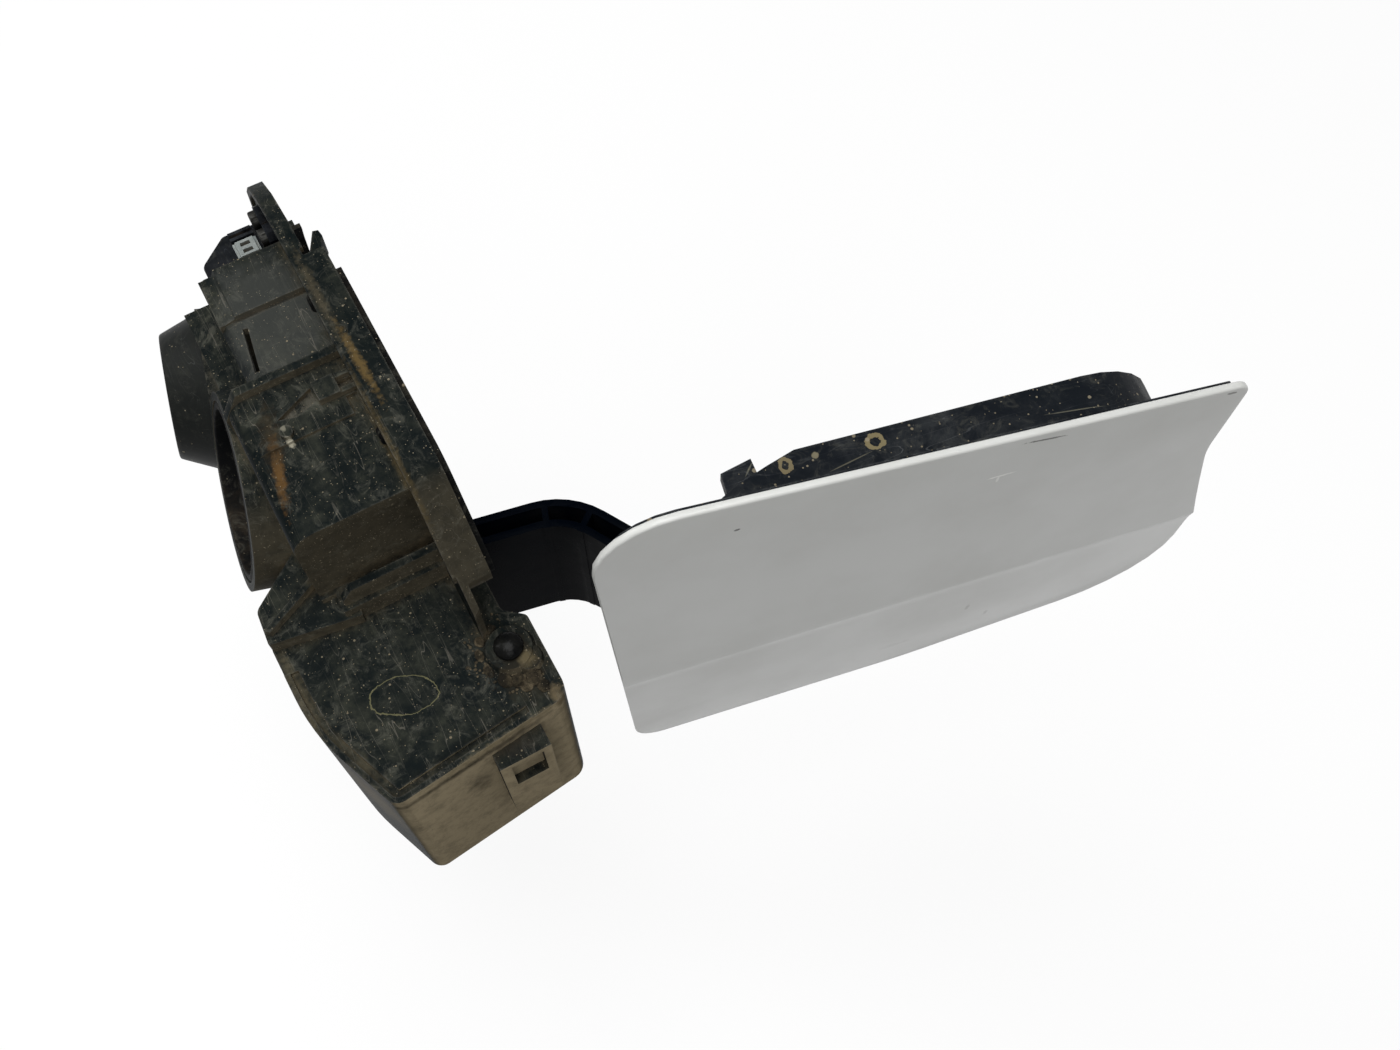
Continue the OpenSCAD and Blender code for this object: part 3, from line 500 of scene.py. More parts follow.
@dataclass(frozen=True)
class WorkedMetal:
    """Plated, drawn or turned metal: satin, with fine streaks and dull spots of tarnish."""

    name: str
    colour: str
    tarnish: str = "4d4a43"
    roughness: float = 0.35
    band_mm: float = 0.0
    tarnish_mm: float = 2.2
    streak_scale: tuple[float, float, float] = (2.5, 0.3, 2.5)

    def build(self) -> bpy.types.Material:
        """Builds the material.

        Returns:
            The finished material.
        """
        material, tree, place = fresh_material(self.name)
        drawn = add(tree, "ShaderNodeMapping", {0: place, 3: self.streak_scale}).outputs[0]
        both = calc(tree, "MULTIPLY", noise(tree, drawn, 1.0, 4.0), noise(tree, place, self.tarnish_mm, 5.0))
        dull = ramp(tree, both, 0.2, 0.42, 0.0, 1.0)
        rough = ramp(tree, dull, 0.0, 1.0, self.roughness, self.roughness + 0.3)
        shader = add(tree, "ShaderNodeBsdfPrincipled", {
            "Base Color": mix(tree, dull, self.colour, self.tarnish), "Roughness": rough, "Metallic": 1.0})
        if self.band_mm:
            wound = add(tree, "ShaderNodeTexWave", {"Vector": place, "Scale": 0.314 / self.band_mm, "Distortion": 0.0},
                        bands_direction="X").outputs["Fac"]
            turns = add(tree, "ShaderNodeBump", {"Strength": 0.8, "Distance": 0.0002, "Height": wound}).outputs[0]
            tree.links.new(turns, shader.inputs["Normal"])
        add(tree, "ShaderNodeOutputMaterial", {"Surface": shader.outputs[0]})
        return material


# Marks on the bowl, in the hinge layout: dusty blocks, brown stains, dried flecks, soil along the rim and the
# pocket, near-black bands of painted shade in the groove and under the edge round its roof, and a drawn loop
BOWL_SPOTS_AND_PAINTED_SHADE = (
    Spot("51524e", (104.0, 17.0, 68.0), (25.0, 18.0, 5.0), strength=0.38, soft=0.4, ragged=0.5, grain_mm=5.0),
    Spot("5e4526", (55.0, 32.6, 75.0), (13.0, 1.9, 6.0), (0.0, 0.0, -12.8), strength=0.8, soft=0.8, ragged=0.9,
         grain_mm=1.6),
    Spot("3a2e1e", (66.0, 30.5, 74.0), (12.0, 3.4, 6.0), (0.0, 0.0, -12.8), strength=0.5, soft=0.8, ragged=0.9,
         grain_mm=1.8),
    Spot("a39e8c", (62.0, 26.6, 76.0), (1.7, 1.1, 3.0), strength=0.8, soft=0.5, ragged=0.6, grain_mm=1.0),
    Spot("7d7a6b", (66.0, 26.7, 77.4), (1.5, 0.9, 2.0), strength=0.7, soft=0.5, ragged=0.6, grain_mm=1.0),
    Spot("6a5734", (68.0, 2.6, 88.0), (16.0, 1.5, 3.0), (0.0, 0.0, 2.0), strength=0.6, soft=0.8, ragged=1.0,
         grain_mm=1.2),
    Spot("4f4839", (92.0, 4.0, 88.0), (20.0, 1.8, 4.0), strength=0.5, soft=0.8, ragged=1.0, grain_mm=1.4),
    Spot("5c4f34", (42.0, 5.5, 82.0), (34.0, 1.4, 14.0), strength=0.5, soft=0.8, ragged=1.0, grain_mm=1.6),
    # Painted shade: a near-black band in the groove along the pocket roof's end edge
    Spot("0d1110", (-17.4, 16.0, 36.0), (2.4, 29.0, 3.0), (0.0, 0.0, 6.5), strength=0.75, soft=0.8, ragged=0.8,
         grain_mm=2.0),
    Spot("70664f", (-21.6, 14.0, 35.0), (1.5, 30.0, 3.0), (0.0, 0.0, 6.5), strength=0.8, soft=0.8, ragged=0.8,
         grain_mm=2.0),
    Spot("27241d", (-6.0, -1.0, 37.0), (12.0, 9.0, 5.0), strength=0.75, soft=0.6, ragged=0.8, grain_mm=1.6),
    Spot("665c45", (-4.8, -2.8, 38.0), (3.0, 3.2, 3.4), strength=0.7, soft=0.7, ragged=0.6, grain_mm=1.5),
    Spot("6b5f49", (-17.0, -5.5, 34.0), (5.0, 3.0, 4.0), strength=0.8, soft=0.7, ragged=0.7, grain_mm=2.0),
    Spot("5f5846", (14.0, 54.0, 35.0), (24.0, 2.4, 4.0), strength=0.6, soft=0.8, ragged=0.8, grain_mm=2.0),
    Spot("5b5341", (-12.0, 49.0, 14.0), (24.0, 9.0, 26.0), strength=0.7, soft=0.8, ragged=0.5, grain_mm=4.0),
    # Painted shade: a near-black band round the walls just under the pocket roof's edge
    Spot("0b0d0e", (6.0, 27.0, 31.8), (60.0, 40.0, 2.6), strength=0.8, soft=0.6, ragged=0.3, grain_mm=2.0),
    Spot("34302a", (-21.0, 9.0, 26.0), (5.0, 11.0, 9.0), strength=0.65, soft=0.8, ragged=0.8, grain_mm=3.0),
    Spot("2b2924", (-22.0, 22.0, 14.0), (5.0, 5.0, 9.0), strength=0.5, soft=0.9, ragged=0.9, grain_mm=3.0),
    Spot("6b684c", (2.2, 30.0, 36.0), (5.6, 8.6, 6.0), (0.0, 0.0, -20.0), strength=0.65, ragged=0.5, grain_mm=15.0,
         rim=0.022),
)

# Marks on the carrier, in the closed door's layout: dried drops that left rings, and pale rub marks
CARRIER_SPOTS = (
    Spot("867a5c", (74.5, 1.5, 98.0), (1.5, 1.7, 3.0), strength=0.6, ragged=0.6, grain_mm=1.8, rim=0.3),
    Spot("8d815f", (97.0, 1.8, 97.6), (2.0, 1.7, 3.0), strength=0.6, ragged=0.6, grain_mm=1.8, rim=0.3),
    Spot("77705c", (82.1, 2.2, 98.0), (1.0, 1.0, 3.0), strength=0.8, soft=0.3, grain_mm=1.0),
    Spot("7f7b68", (89.5, -1.8, 97.8), (7.0, 0.2, 3.0), (0.0, 0.0, 12.0), strength=0.35, soft=0.4, grain_mm=2.0),
    Spot("8a8876", (146.6, -3.5, 95.8), (9.0, 0.2, 3.0), (0.0, 0.0, -6.0), strength=0.3, soft=0.4, grain_mm=2.0),
    Spot("7c7a6a", (66.0, 3.3, 97.6), (2.4, 0.25, 3.0), (0.0, 0.0, 50.0), strength=0.4, soft=0.4, grain_mm=2.0),
)

# Marks in the paint, in the closed door's layout: scratch, stone chips, chips along the top edge, faint scuffs
PAINT_SPOTS = (
    Spot("f0f0ec", (127.4, -9.3, 83.0), (4.4, 20.0, 0.5), strength=0.85, soft=0.5, ragged=0.6, grain_mm=1.2),
    Spot("f0f0ec", (127.0, -9.3, 81.6), (0.5, 20.0, 2.0), strength=0.7, soft=0.5, ragged=0.6, grain_mm=1.2),
    Spot("33322f", (59.2, -9.3, 94.1), (0.9, 20.0, 0.6), strength=0.95, soft=0.3, ragged=0.3, grain_mm=0.8),
    Spot("454440", (136.3, -9.3, 96.8), (6.4, 20.0, 0.5), (0.0, 9.5, 0.0), strength=0.9, soft=0.4, ragged=0.6,
         grain_mm=1.0),
    Spot("5b5a55", (186.2, -9.4, 93.6), (1.6, 20.0, 0.6), (0.0, 12.0, 0.0), strength=0.8, soft=0.3, ragged=0.6,
         grain_mm=1.0),
    Spot("8a8984", (134.8, -9.1, -9.7), (0.9, 20.0, 2.8), strength=0.5, soft=0.6, ragged=0.7, grain_mm=1.5),
    Spot("8a8984", (142.8, -8.7, -20.7), (0.9, 20.0, 2.4), strength=0.45, soft=0.6, ragged=0.7, grain_mm=1.5),
    Spot("9b9a95", (114.0, -9.0, -27.0), (6.0, 20.0, 2.0), strength=0.25, soft=0.8, ragged=0.8, grain_mm=3.0),
    Spot("a09f9a", (38.0, -9.0, -30.0), (16.0, 20.0, 12.0), strength=0.25, soft=0.9, ragged=0.7, grain_mm=9.0),
)


class Finish(Enum):
    """Every finish of the unit, with what the real material gives the eye."""

    # Filled polypropylene from a spark-eroded mould: near black and dull, under pale dust and splashed soil, with
    # painted shade in bands round the pocket's roof
    BOWL = WeatheredMoulding(
        "moulded_bowl_dusty_painted_shade", "0d1314", "42433a", "a89a7e", rubbed_and_highlit="65625a", roughness=0.48, shine=0.02,
        dust_on_top=0.42, mud_on_sides=0.85, edge_wear_and_highlight=0.45, scratches=0.6, crumbs=0.9, crumb_mm=1.6, crevice=0.75,
        smudges=0.4, spots=BOWL_SPOTS_AND_PAINTED_SHADE)
    # Extruded soft rubber: matt black, with dust that won't wipe off
    SEAL = WeatheredMoulding(
        "seal_lip_rubber", "0d0e0f", "3f3b32", "5a4e3d", roughness=0.65, shine=0.03, dust_on_top=0.5, edge_wear_and_highlight=0.15,
        scratches=0.1)
    # Moulded neck seal: matt black, browned by soil
    NECK_SEAL = WeatheredMoulding(
        "neck_seal_rubber", "0f1011", "463d31", "5e4d38", roughness=0.6, shine=0.03, edge_wear_and_highlight=0.15, scratches=0.1,
        crumbs=0.1)
    # Thermoplastic elastomer: warm black with a soft satin sheen
    BOOT = WeatheredMoulding(
        "boot_moulding_satin", "191b1a", "353630", "4b443a", roughness=0.46, shine=0.07, dust_on_top=0.3, crumbs=0.2,
        crevice=0.3, smudges=0.1)
    # Blue-black moulding behind the panel: cleaner than the bowl, flecked and scratched
    CARRIER = WeatheredMoulding(
        "carrier_moulding", "11151a", "3c3e3f", "5a564d", rubbed_and_highlit="56585a", roughness=0.4, shine=0.05, dust_on_top=0.4,
        crumbs=0.9, crumb_mm=2.8, smudges=0.25, swung=True, spots=CARRIER_SPOTS)
    # Glass-filled nylon of the actuator: blue-black, lightly worn
    ACTUATOR = WeatheredMoulding(
        "actuator_moulding", "090c10", "34363a", "4b463d", rubbed_and_highlit="3d4146", roughness=0.38, shine=0.05, crumbs=0.4,
        smudges=0.15)
    # Pale grey connector insert, smooth from the mould
    INSERT = WeatheredMoulding(
        "connector_insert", "757c7b", "8b8d88", "8b8375", rubbed_and_highlit="a0a4a1", roughness=0.3, scratches=0.2, crumbs=0.2)
    # Road dirt packed by spray: crumbly and wholly matt
    DIRT = WeatheredMoulding(
        "packed_road_dirt", "1c1a16", "4a4233", "6d614b", rubbed_and_highlit="6b614e", roughness=0.95, shine=0.05, dust_on_top=0.9,
        scratches=0.0, crumbs=1.0, grain_mm=0.4, crumb_mm=1.2, bump_mm=0.2)
    # Smooth arm moulding: the deepest blue-black of the unit, kept clean by the pocket
    ARM = GlossMoulding("arm_moulding_gloss", "02050b", roughness=0.26, shine=0.004, dust=0.03, swung=True)
    # Blackened pin with a polished dome: one soft highlight
    PIN = GlossMoulding("pin_head_gloss", "060708", roughness=0.2, shine=0.07, dust=0.12)
    # Two-layer body paint on pressed sheet
    PAINT = BodyPaint("panel_body_paint", spots=PAINT_SPOTS)
    # Hard-drawn spring wire: grey, streaked along its length
    STEEL = WorkedMetal("drawn_spring_steel", "8d8c88")
    # Turned and plated latch parts: brighter than the wire
    TURNED = WorkedMetal("turned_latch_steel", "94938e", roughness=0.3)
    # Zinc plate gone dull
    ZINC = WorkedMetal("zinc_plated_steel", "6f6e68", tarnish="38352f", roughness=0.45)
    # Phosphated screws: dark, with a grey shine on the edges of the recess
    BLACKENED = WorkedMetal("blackened_screw_steel", "3a3a38", tarnish="1d1c1a", roughness=0.45)
    # Enamelled winding wire: copper brown, its turns drawn at their real 0.45 mm
    COPPER = WorkedMetal("enamelled_copper_wire", "8a4f28", tarnish="5c3519", roughness=0.3, band_mm=0.45)


NODE_FINISH = {
    "bowl_housing": Finish.BOWL, "rim_seal": Finish.SEAL, "fuel_neck_seal": Finish.NECK_SEAL,
    "second_neck_boot": Finish.BOOT, "hinge_pin": Finish.PIN, "hinge_spring": Finish.STEEL,
    "stop_buffers": Finish.SEAL, "latch_case": Finish.ACTUATOR, "latch_spring": Finish.STEEL,
    "actuator_case": Finish.ACTUATOR, "actuator_cover": Finish.ACTUATOR, "solenoid_coil": Finish.COPPER,
    "actuator_connector": Finish.INSERT, "actuator_screws": Finish.BLACKENED, "latch_plunger": Finish.TURNED,
    "latch_head": Finish.TURNED, "lock_bolt": Finish.ZINC, "hinge_arm": Finish.ARM,
    "inner_carrier": Finish.CARRIER, "outer_panel": Finish.PAINT, "striker_box": Finish.CARRIER,
    "panel_clips": Finish.ZINC,
}


def deselect() -> None:
    """Leaves nothing selected and nothing active."""
    if bpy.context.object and bpy.context.object.mode != "OBJECT":
        bpy.ops.object.mode_set(mode="OBJECT")
    for thing in bpy.data.objects:
        thing.select_set(False)
    bpy.context.view_layer.objects.active = None


def activate(thing: bpy.types.Object) -> None:
    """Selects one object alone and makes it active.

    Args:
        thing: the object.
    """
    deselect()
    thing.select_set(True)
    bpy.context.view_layer.objects.active = thing


BUILT: dict[Finish, bpy.types.Material] = {}


def dress(thing: bpy.types.Object, finish: Finish) -> None:
    """Gives an object one finish all over.

    Args:
        thing: the mesh object.
        finish: the finish that it wears.
    """
    if finish not in BUILT:
        BUILT[finish] = finish.value.build()
    thing.data.materials.clear()
    thing.data.materials.append(BUILT[finish])


def settle(thing: bpy.types.Object, body: Body, finish: Finish) -> None:
    """Moves a piece's place into its mesh, dresses it and lets it ride.

    Args:
        thing: the finished piece.
        body: the rigid body that carries it.
        finish: the finish that it wears.
    """
    activate(thing)
    bpy.ops.object.transform_apply(location=True, rotation=True, scale=True)
    dress(thing, finish)
    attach(thing, body.value)
    LOG.info("%s: %d faces", thing.name, len(thing.data.polygons))


@dataclass
class SoftEdged:
    """A moulded or pressed piece whose edges get the small radius of its tool."""

    node: str
    body: Body
    radius_mm: float = 0.4
    segments: int = 2
    angle_deg: float = 28.0
    flat_deg: float = 0.6
    smooth_deg: float = 26.0

    def shape(self, piece: bpy.types.Object) -> None:
        """Adds nothing here: a piece with more form of its own does it at this step."""

    def sharpen(self, piece: bpy.types.Object) -> None:
        """Marks nothing here: a piece with a crisp line of its own does it at this step."""

    def build(self) -> bpy.types.Object:
        """Copies the CAD piece, merges it and rounds its edges.

        Returns:
            The piece, riding on its body.
        """
        piece = bpy.data.objects.new(self.node + "_soft", frame["nodes"][self.node].data.copy())
        bpy.context.scene.collection.objects.link(piece)
        activate(piece)
        bpy.ops.object.mode_set(mode="EDIT")
        bpy.ops.mesh.select_all(action="SELECT")
        bpy.ops.mesh.remove_doubles(threshold=MERGE_M)
        bpy.ops.mesh.dissolve_limited(angle_limit=math.radians(self.flat_deg))
        bpy.ops.object.mode_set(mode="OBJECT")
        self.shape(piece)
        bevel = piece.modifiers.new("tool_radius", "BEVEL")
        bevel.width = self.radius_mm / 1000.0
        bevel.segments = self.segments
        bevel.limit_method = "ANGLE"
        bevel.angle_limit = math.radians(self.angle_deg)
        bevel.use_clamp_overlap = True
        bpy.ops.object.modifier_apply(modifier=bevel.name)
        bpy.ops.object.shade_smooth_by_angle(angle=math.radians(self.smooth_deg))
        self.sharpen(piece)
        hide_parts(self.node)
        settle(piece, self.body, NODE_FINISH[self.node])
        return piece


@dataclass
class PressedPanel(SoftEdged):
    """The painted panel: its style line stands a little proud, with a slow rise above it and a quick fall below."""

    start: tuple[float, float, float] = (-0.0960, -0.0722, -0.0230)
    end: tuple[float, float, float] = (-0.1317, -0.2405, -0.0146)
    outward: tuple[float, float, float] = (-0.978, 0.208, 0.0)
    proud_mm: float = 0.7
    rise_mm: float = 26.0
    fall_mm: float = 7.0
    cuts_mm: tuple[float, ...] = (26.0, 20.0, 14.5, 10.0, 6.0, 3.0, -1.5, -3.5, -7.0)
    skin_mm: float = 0.9
    crisp_from_mm: float = 20.0
    near_mm: float = 0.6

    def line(self) -> tuple[Vector, Vector, Vector]:
        """Finds the style line's own directions.

        Returns:
            A point on the line, the panel's outward direction, and the direction up the face, square to the line.
        """
        along = (Vector(self.end) - Vector(self.start)).normalized()
        out = Vector(self.outward)
        out = (out - along * out.dot(along)).normalized()
        up = out.cross(along)
        return Vector(self.start), out, up if up.z > 0 else -up

    def shape(self, piece: bpy.types.Object) -> None:
        """Cuts lines beside the style line and lifts the outer face there.

        Args:
            piece: the merged copy of the panel.
        """
        origin, out, up = self.line()
        bpy.ops.object.mode_set(mode="EDIT")
        for away in self.cuts_mm:
            bpy.ops.mesh.select_all(action="SELECT")
            bpy.ops.mesh.bisect(plane_co=origin + up * (away / 1000.0), plane_no=up)
        bpy.ops.mesh.select_all(action="DESELECT")
        bpy.ops.object.mode_set(mode="OBJECT")
        for vert in piece.data.vertices:
            beside = (vert.co - origin).dot(up) * 1000.0
            if (vert.co - origin).dot(out) * 1000.0 < -self.skin_mm or not -self.fall_mm < beside < self.rise_mm:
                continue
            share = 1.0 - (beside / self.rise_mm if beside > 0.0 else -beside / self.fall_mm)
            vert.co += out * (self.proud_mm * share * share / 1000.0)

    def sharpen(self, piece: bpy.types.Object) -> None:
        """Keeps the style line crisp: its own edges don't shade smooth.

        Args:
            piece: the finished panel.
        """
        origin, _, up = self.line()
        mesh = piece.data
        for edge in mesh.edges:
            ends = [(mesh.vertices[i].co - origin) * 1000.0 for i in edge.vertices]
            on_line = all(abs(end.dot(up)) < self.near_mm for end in ends)
            if on_line and (ends[0] - ends[1]).length > self.crisp_from_mm:
                edge.use_edge_sharp = True


@dataclass
class HingeSpring:
    """Torsion spring on the hinge pin, wound from round wire, with a straight leg at each end."""

    coil_mm: float = 4.3
    wire_mm: float = 1.4
    half_mm: float = 9.0
    turns: int = 7
    low_leg_mm: float = 6.0
    high_leg_mm: float = 4.4

    def leg(self, piece: bpy.types.Object, top: bool, length_mm: float) -> None:
        """Draws one end of the wire out straight and closes it.

        Args:
            piece: the coil.
            top: whether it is the upper end.
            length_mm: length of the leg; the upper one points to +Y, the lower one to -Y.
        """
        level = self.half_mm if top else -self.half_mm
        for vert in piece.data.vertices:
            co = vert.co * 1000.0
            vert.select = abs(co.y) < 0.02 and co.x > 0 and abs(co.z - level) < self.wire_mm * 0.51
        bpy.ops.object.mode_set(mode="EDIT")
        bpy.ops.mesh.extrude_region_move(
            TRANSFORM_OT_translate={"value": (0.0, (length_mm if top else -length_mm) / 1000.0, 0.0)})
        bpy.ops.mesh.edge_face_add()
        bpy.ops.mesh.select_all(action="DESELECT")
        bpy.ops.object.mode_set(mode="OBJECT")

    def build(self) -> None:
        """Winds the coil, draws both legs and puts it on the pin."""
        deselect()
        bpy.ops.mesh.primitive_circle_add(vertices=12, radius=self.wire_mm / 2000.0, location=at(0.0, 0.0, 0.0))
        piece = bpy.context.object
        piece.name = "hinge_spring_wire"
        bpy.ops.object.mode_set(mode="EDIT")
        bpy.ops.transform.rotate(value=math.pi / 2, orient_axis="X", center_override=at(0.0, 0.0, 0.0))
        bpy.ops.transform.translate(value=(self.coil_mm / 1000.0, 0.0, -self.half_mm / 1000.0))
        bpy.ops.mesh.select_all(action="DESELECT")
        bpy.ops.object.mode_set(mode="OBJECT")
        screw = piece.modifiers.new("winding", "SCREW")
        screw.axis = "Z"
        screw.angle = 2.0 * math.pi
        screw.iterations = self.turns
        screw.screw_offset = 2.0 * self.half_mm / self.turns / 1000.0
        screw.steps = screw.render_steps = 24
        bpy.ops.object.modifier_apply(modifier=screw.name)
        self.leg(piece, False, self.low_leg_mm)
        self.leg(piece, True, self.high_leg_mm)
        bpy.ops.object.mode_set(mode="EDIT")
        bpy.ops.mesh.select_all(action="SELECT")
        bpy.ops.mesh.remove_doubles(threshold=0.000005)
        bpy.ops.mesh.normals_make_consistent(inside=False)
        bpy.ops.object.mode_set(mode="OBJECT")
        bpy.ops.object.shade_smooth_by_angle(angle=math.radians(40.0))
        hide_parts("hinge_spring")
        settle(piece, Body.BOWL, Finish.STEEL)


@dataclass
class ActuatorScrews:
    """Two pan-headed screws with a six-lobed recess, driven from the bowl's back through the actuator's ears."""

    places: tuple[tuple[float, float], ...] = ((133.0, 64.6), (140.0, 64.6))
    seat_y: float = 7.5
    head_mm: float = 2.8
    head_height: float = 2.0
    shank_mm: float = 1.5
    shank_length: float = 4.3
    recess_mm: float = 1.2
    recess_depth: float = 1.1
    round_mm: float = 0.5

    def far_face(self, piece: bpy.types.Object, sign: float) -> None:
        """Selects the faces at one end of the screw.

        Args:
            piece: the screw.
            sign: one for the head's end at +Y, minus one for the other.
        """
        bpy.ops.object.mode_set(mode="OBJECT")
        reach = max(sign * face.center.y for face in piece.data.polygons if sign * face.normal.y > 0.9)
        for face in piece.data.polygons:
            face.select = sign * face.normal.y > 0.9 and sign * face.center.y > reach - MERGE_M
        bpy.ops.object.mode_set(mode="EDIT")

    def one(self, x: float, z: float) -> bpy.types.Object:
        """Makes one screw.

        Args:
            x: its place along the rim.
            z: its height.

        Returns:
            The screw.
        """
        deselect()
        centre = at(x, self.seat_y + self.head_height / 2, z)
        bpy.ops.mesh.primitive_cylinder_add(vertices=24, radius=self.head_mm / 1000.0,
                                            depth=self.head_height / 1000.0, location=centre)
        piece = bpy.context.object
        bpy.ops.object.mode_set(mode="EDIT")
        bpy.ops.transform.rotate(value=-math.pi / 2, orient_axis="X", center_override=centre)
        bpy.ops.object.mode_set(mode="OBJECT")
        bpy.ops.object.transform_apply(location=True, rotation=True, scale=True)
        bpy.ops.object.mode_set(mode="EDIT")
        bpy.ops.mesh.select_mode(type="FACE")
        bpy.ops.mesh.select_all(action="DESELECT")
        self.far_face(piece, 1.0)
        bpy.ops.mesh.bevel(offset=self.round_mm / 1000.0, segments=2)
        self.far_face(piece, 1.0)
        bpy.ops.mesh.inset(thickness=(self.head_mm - self.round_mm - self.recess_mm) / 1000.0)
        bpy.ops.mesh.select_all(action="DESELECT")
        bpy.ops.object.mode_set(mode="OBJECT")
        top = max(v.co.y for v in piece.data.vertices)
        middle = Vector((centre.x, top, centre.z))
        for vert in piece.data.vertices:
            arm = vert.co - middle
            lobe = round(math.degrees(math.atan2(arm.z, arm.x)) / 15.0) % 4
            vert.select = abs(arm.y) < MERGE_M and arm.length < (self.recess_mm + 0.2) / 1000.0 and lobe == 0
        bpy.ops.object.mode_set(mode="EDIT")
        bpy.ops.mesh.select_mode(type="VERT")
        bpy.ops.transform.resize(value=(0.72, 1.0, 0.72), center_override=middle)
        bpy.ops.mesh.select_mode(type="FACE")
        bpy.ops.mesh.select_all(action="DESELECT")
        self.core_face(piece, middle)
        bpy.ops.mesh.extrude_region_move(TRANSFORM_OT_translate={"value": (0.0, -self.recess_depth / 1000.0, 0.0)})
        bpy.ops.mesh.select_all(action="DESELECT")
        self.far_face(piece, -1.0)
        bpy.ops.mesh.inset(thickness=(self.head_mm - self.shank_mm) / 1000.0)
        bpy.ops.mesh.extrude_region_move(TRANSFORM_OT_translate={"value": (0.0, -self.shank_length / 1000.0, 0.0)})
        bpy.ops.object.mode_set(mode="OBJECT")
        bpy.ops.object.shade_smooth_by_angle(angle=math.radians(30.0))
        return piece

    def core_face(self, piece: bpy.types.Object, middle: Vector) -> None:
        """Selects the face in the middle of the head's end.

        Args:
            piece: the screw.
            middle: the centre of the head's end.
        """
        bpy.ops.object.mode_set(mode="OBJECT")
        for face in piece.data.polygons:
            face.select = face.normal.y > 0.9 and (face.center - middle).length < 0.0003
        bpy.ops.object.mode_set(mode="EDIT")

    def build(self) -> None:
        """Makes both screws as one piece."""
        made = [self.one(*place) for place in self.places]
        activate(made[0])
        made[1].select_set(True)
        bpy.ops.object.join()
        piece = bpy.context.object
        piece.name = "actuator_screw_pair"
        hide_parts("actuator_screws")
        settle(piece, Body.BOWL, Finish.BLACKENED)


@dataclass
class PackedDirt:
    """Road dirt packed round the hinge boss on the pocket's roof, with crumbs strewn beside it."""

    roof_z: float = 36.0
    lumps: tuple[tuple[float, float, float, float, float], ...] = (
        (-9.6, -2.2, 3.0, 2.4, 1.3), (-7.0, 4.8, 2.4, 1.8, 1.0), (-13.2, -3.4, 2.0, 1.6, 0.8),
        (-8.8, 1.6, 1.8, 2.2, 1.2), (-2.6, 7.4, 2.2, 1.3, 0.8), (2.4, 7.8, 1.9, 1.2, 0.7),
        (5.9, 6.0, 1.6, 1.5, 0.7), (8.0, 2.6, 1.3, 2.0, 0.6), (-11.6, 0.4, 1.4, 1.6, 0.7))
    crumbs: int = 120
    crumb_mm: tuple[float, float] = (0.16, 0.5)
    turn_rad: tuple[float, float] = (-0.2, 3.6)
    reach_mm: tuple[float, float] = (6.4, 12.5)
    seed: int = 7

    def lump(self, x: float, y: float, half: tuple[float, float, float], fineness: int) -> bpy.types.Object:
        """One lump with a torn surface.

        Args:
            x: its place across the roof.
            y: its place along the roof.
            half: its half sizes in millimetres.
            fineness: subdivisions of its ball.

        Returns:
            The lump.
        """
        deselect()
        bpy.ops.mesh.primitive_ico_sphere_add(subdivisions=fineness, radius=0.001, location=at(x, y, self.roof_z))
        piece = bpy.context.object
        bpy.ops.object.mode_set(mode="EDIT")
        bpy.ops.transform.resize(value=half, center_override=piece.location)
        bpy.ops.object.mode_set(mode="OBJECT")
        bpy.ops.object.transform_apply(location=True, rotation=True, scale=True)
        torn = piece.modifiers.new("torn", "DISPLACE")
        torn.texture = CLOUDS
        torn.texture_coords = "LOCAL"
        torn.strength = min(half) * 0.0011
        torn.mid_level = 0.5
        bpy.ops.object.modifier_apply(modifier=torn.name)
        return piece

    def build(self) -> None:
        """Packs the lumps and strews the crumbs."""
        chance = random.Random(self.seed)
        made = [self.lump(x, y, (a, b, c), 4) for x, y, a, b, c in self.lumps]
        for _ in range(self.crumbs):
            size = chance.uniform(*self.crumb_mm)
            turn, away = chance.uniform(*self.turn_rad), chance.uniform(*self.reach_mm)
            x, y = away * math.cos(turn), away * math.sin(turn)
            if -17.0 < x < 20.0 and -6.8 < y < 20.0 and not (y < -2.0 and x > 4.0):
                made.append(self.lump(x, y, (size, size * chance.uniform(0.7, 1.2), size * 0.8), 2))
        activate(made[0])
        for piece in made[1:]:
            piece.select_set(True)
        bpy.ops.object.join()
        piece = bpy.context.object
        piece.name = "packed_dirt"
        bpy.ops.object.shade_smooth_by_angle(angle=math.radians(50.0))
        settle(piece, Body.BOWL, Finish.DIRT)


CLOUDS = bpy.data.textures.new("torn_dirt", "CLOUDS")
CLOUDS.noise_scale = 0.0011
CLOUDS.noise_depth = 3


@dataclass(frozen=True)
class SoftBox:
    """One square soft lamp, placed in metres from the point that it faces."""

    name: str
    place: tuple[float, float, float]
    size: float
    watts: float

    def hang(self, aim: Vector) -> None:
        """Adds the lamp.

        Args:
            aim: point that it faces.
        """
        light = bpy.data.lights.new(self.name, "AREA")
        light.shape, light.size, light.energy = "SQUARE", self.size, self.watts
        box = bpy.data.objects.new(self.name, light)
        bpy.context.scene.collection.objects.link(box)
        box.location = aim + Vector(self.place)
        box.rotation_euler = (-Vector(self.place)).to_track_quat("-Z", "Y").to_euler()


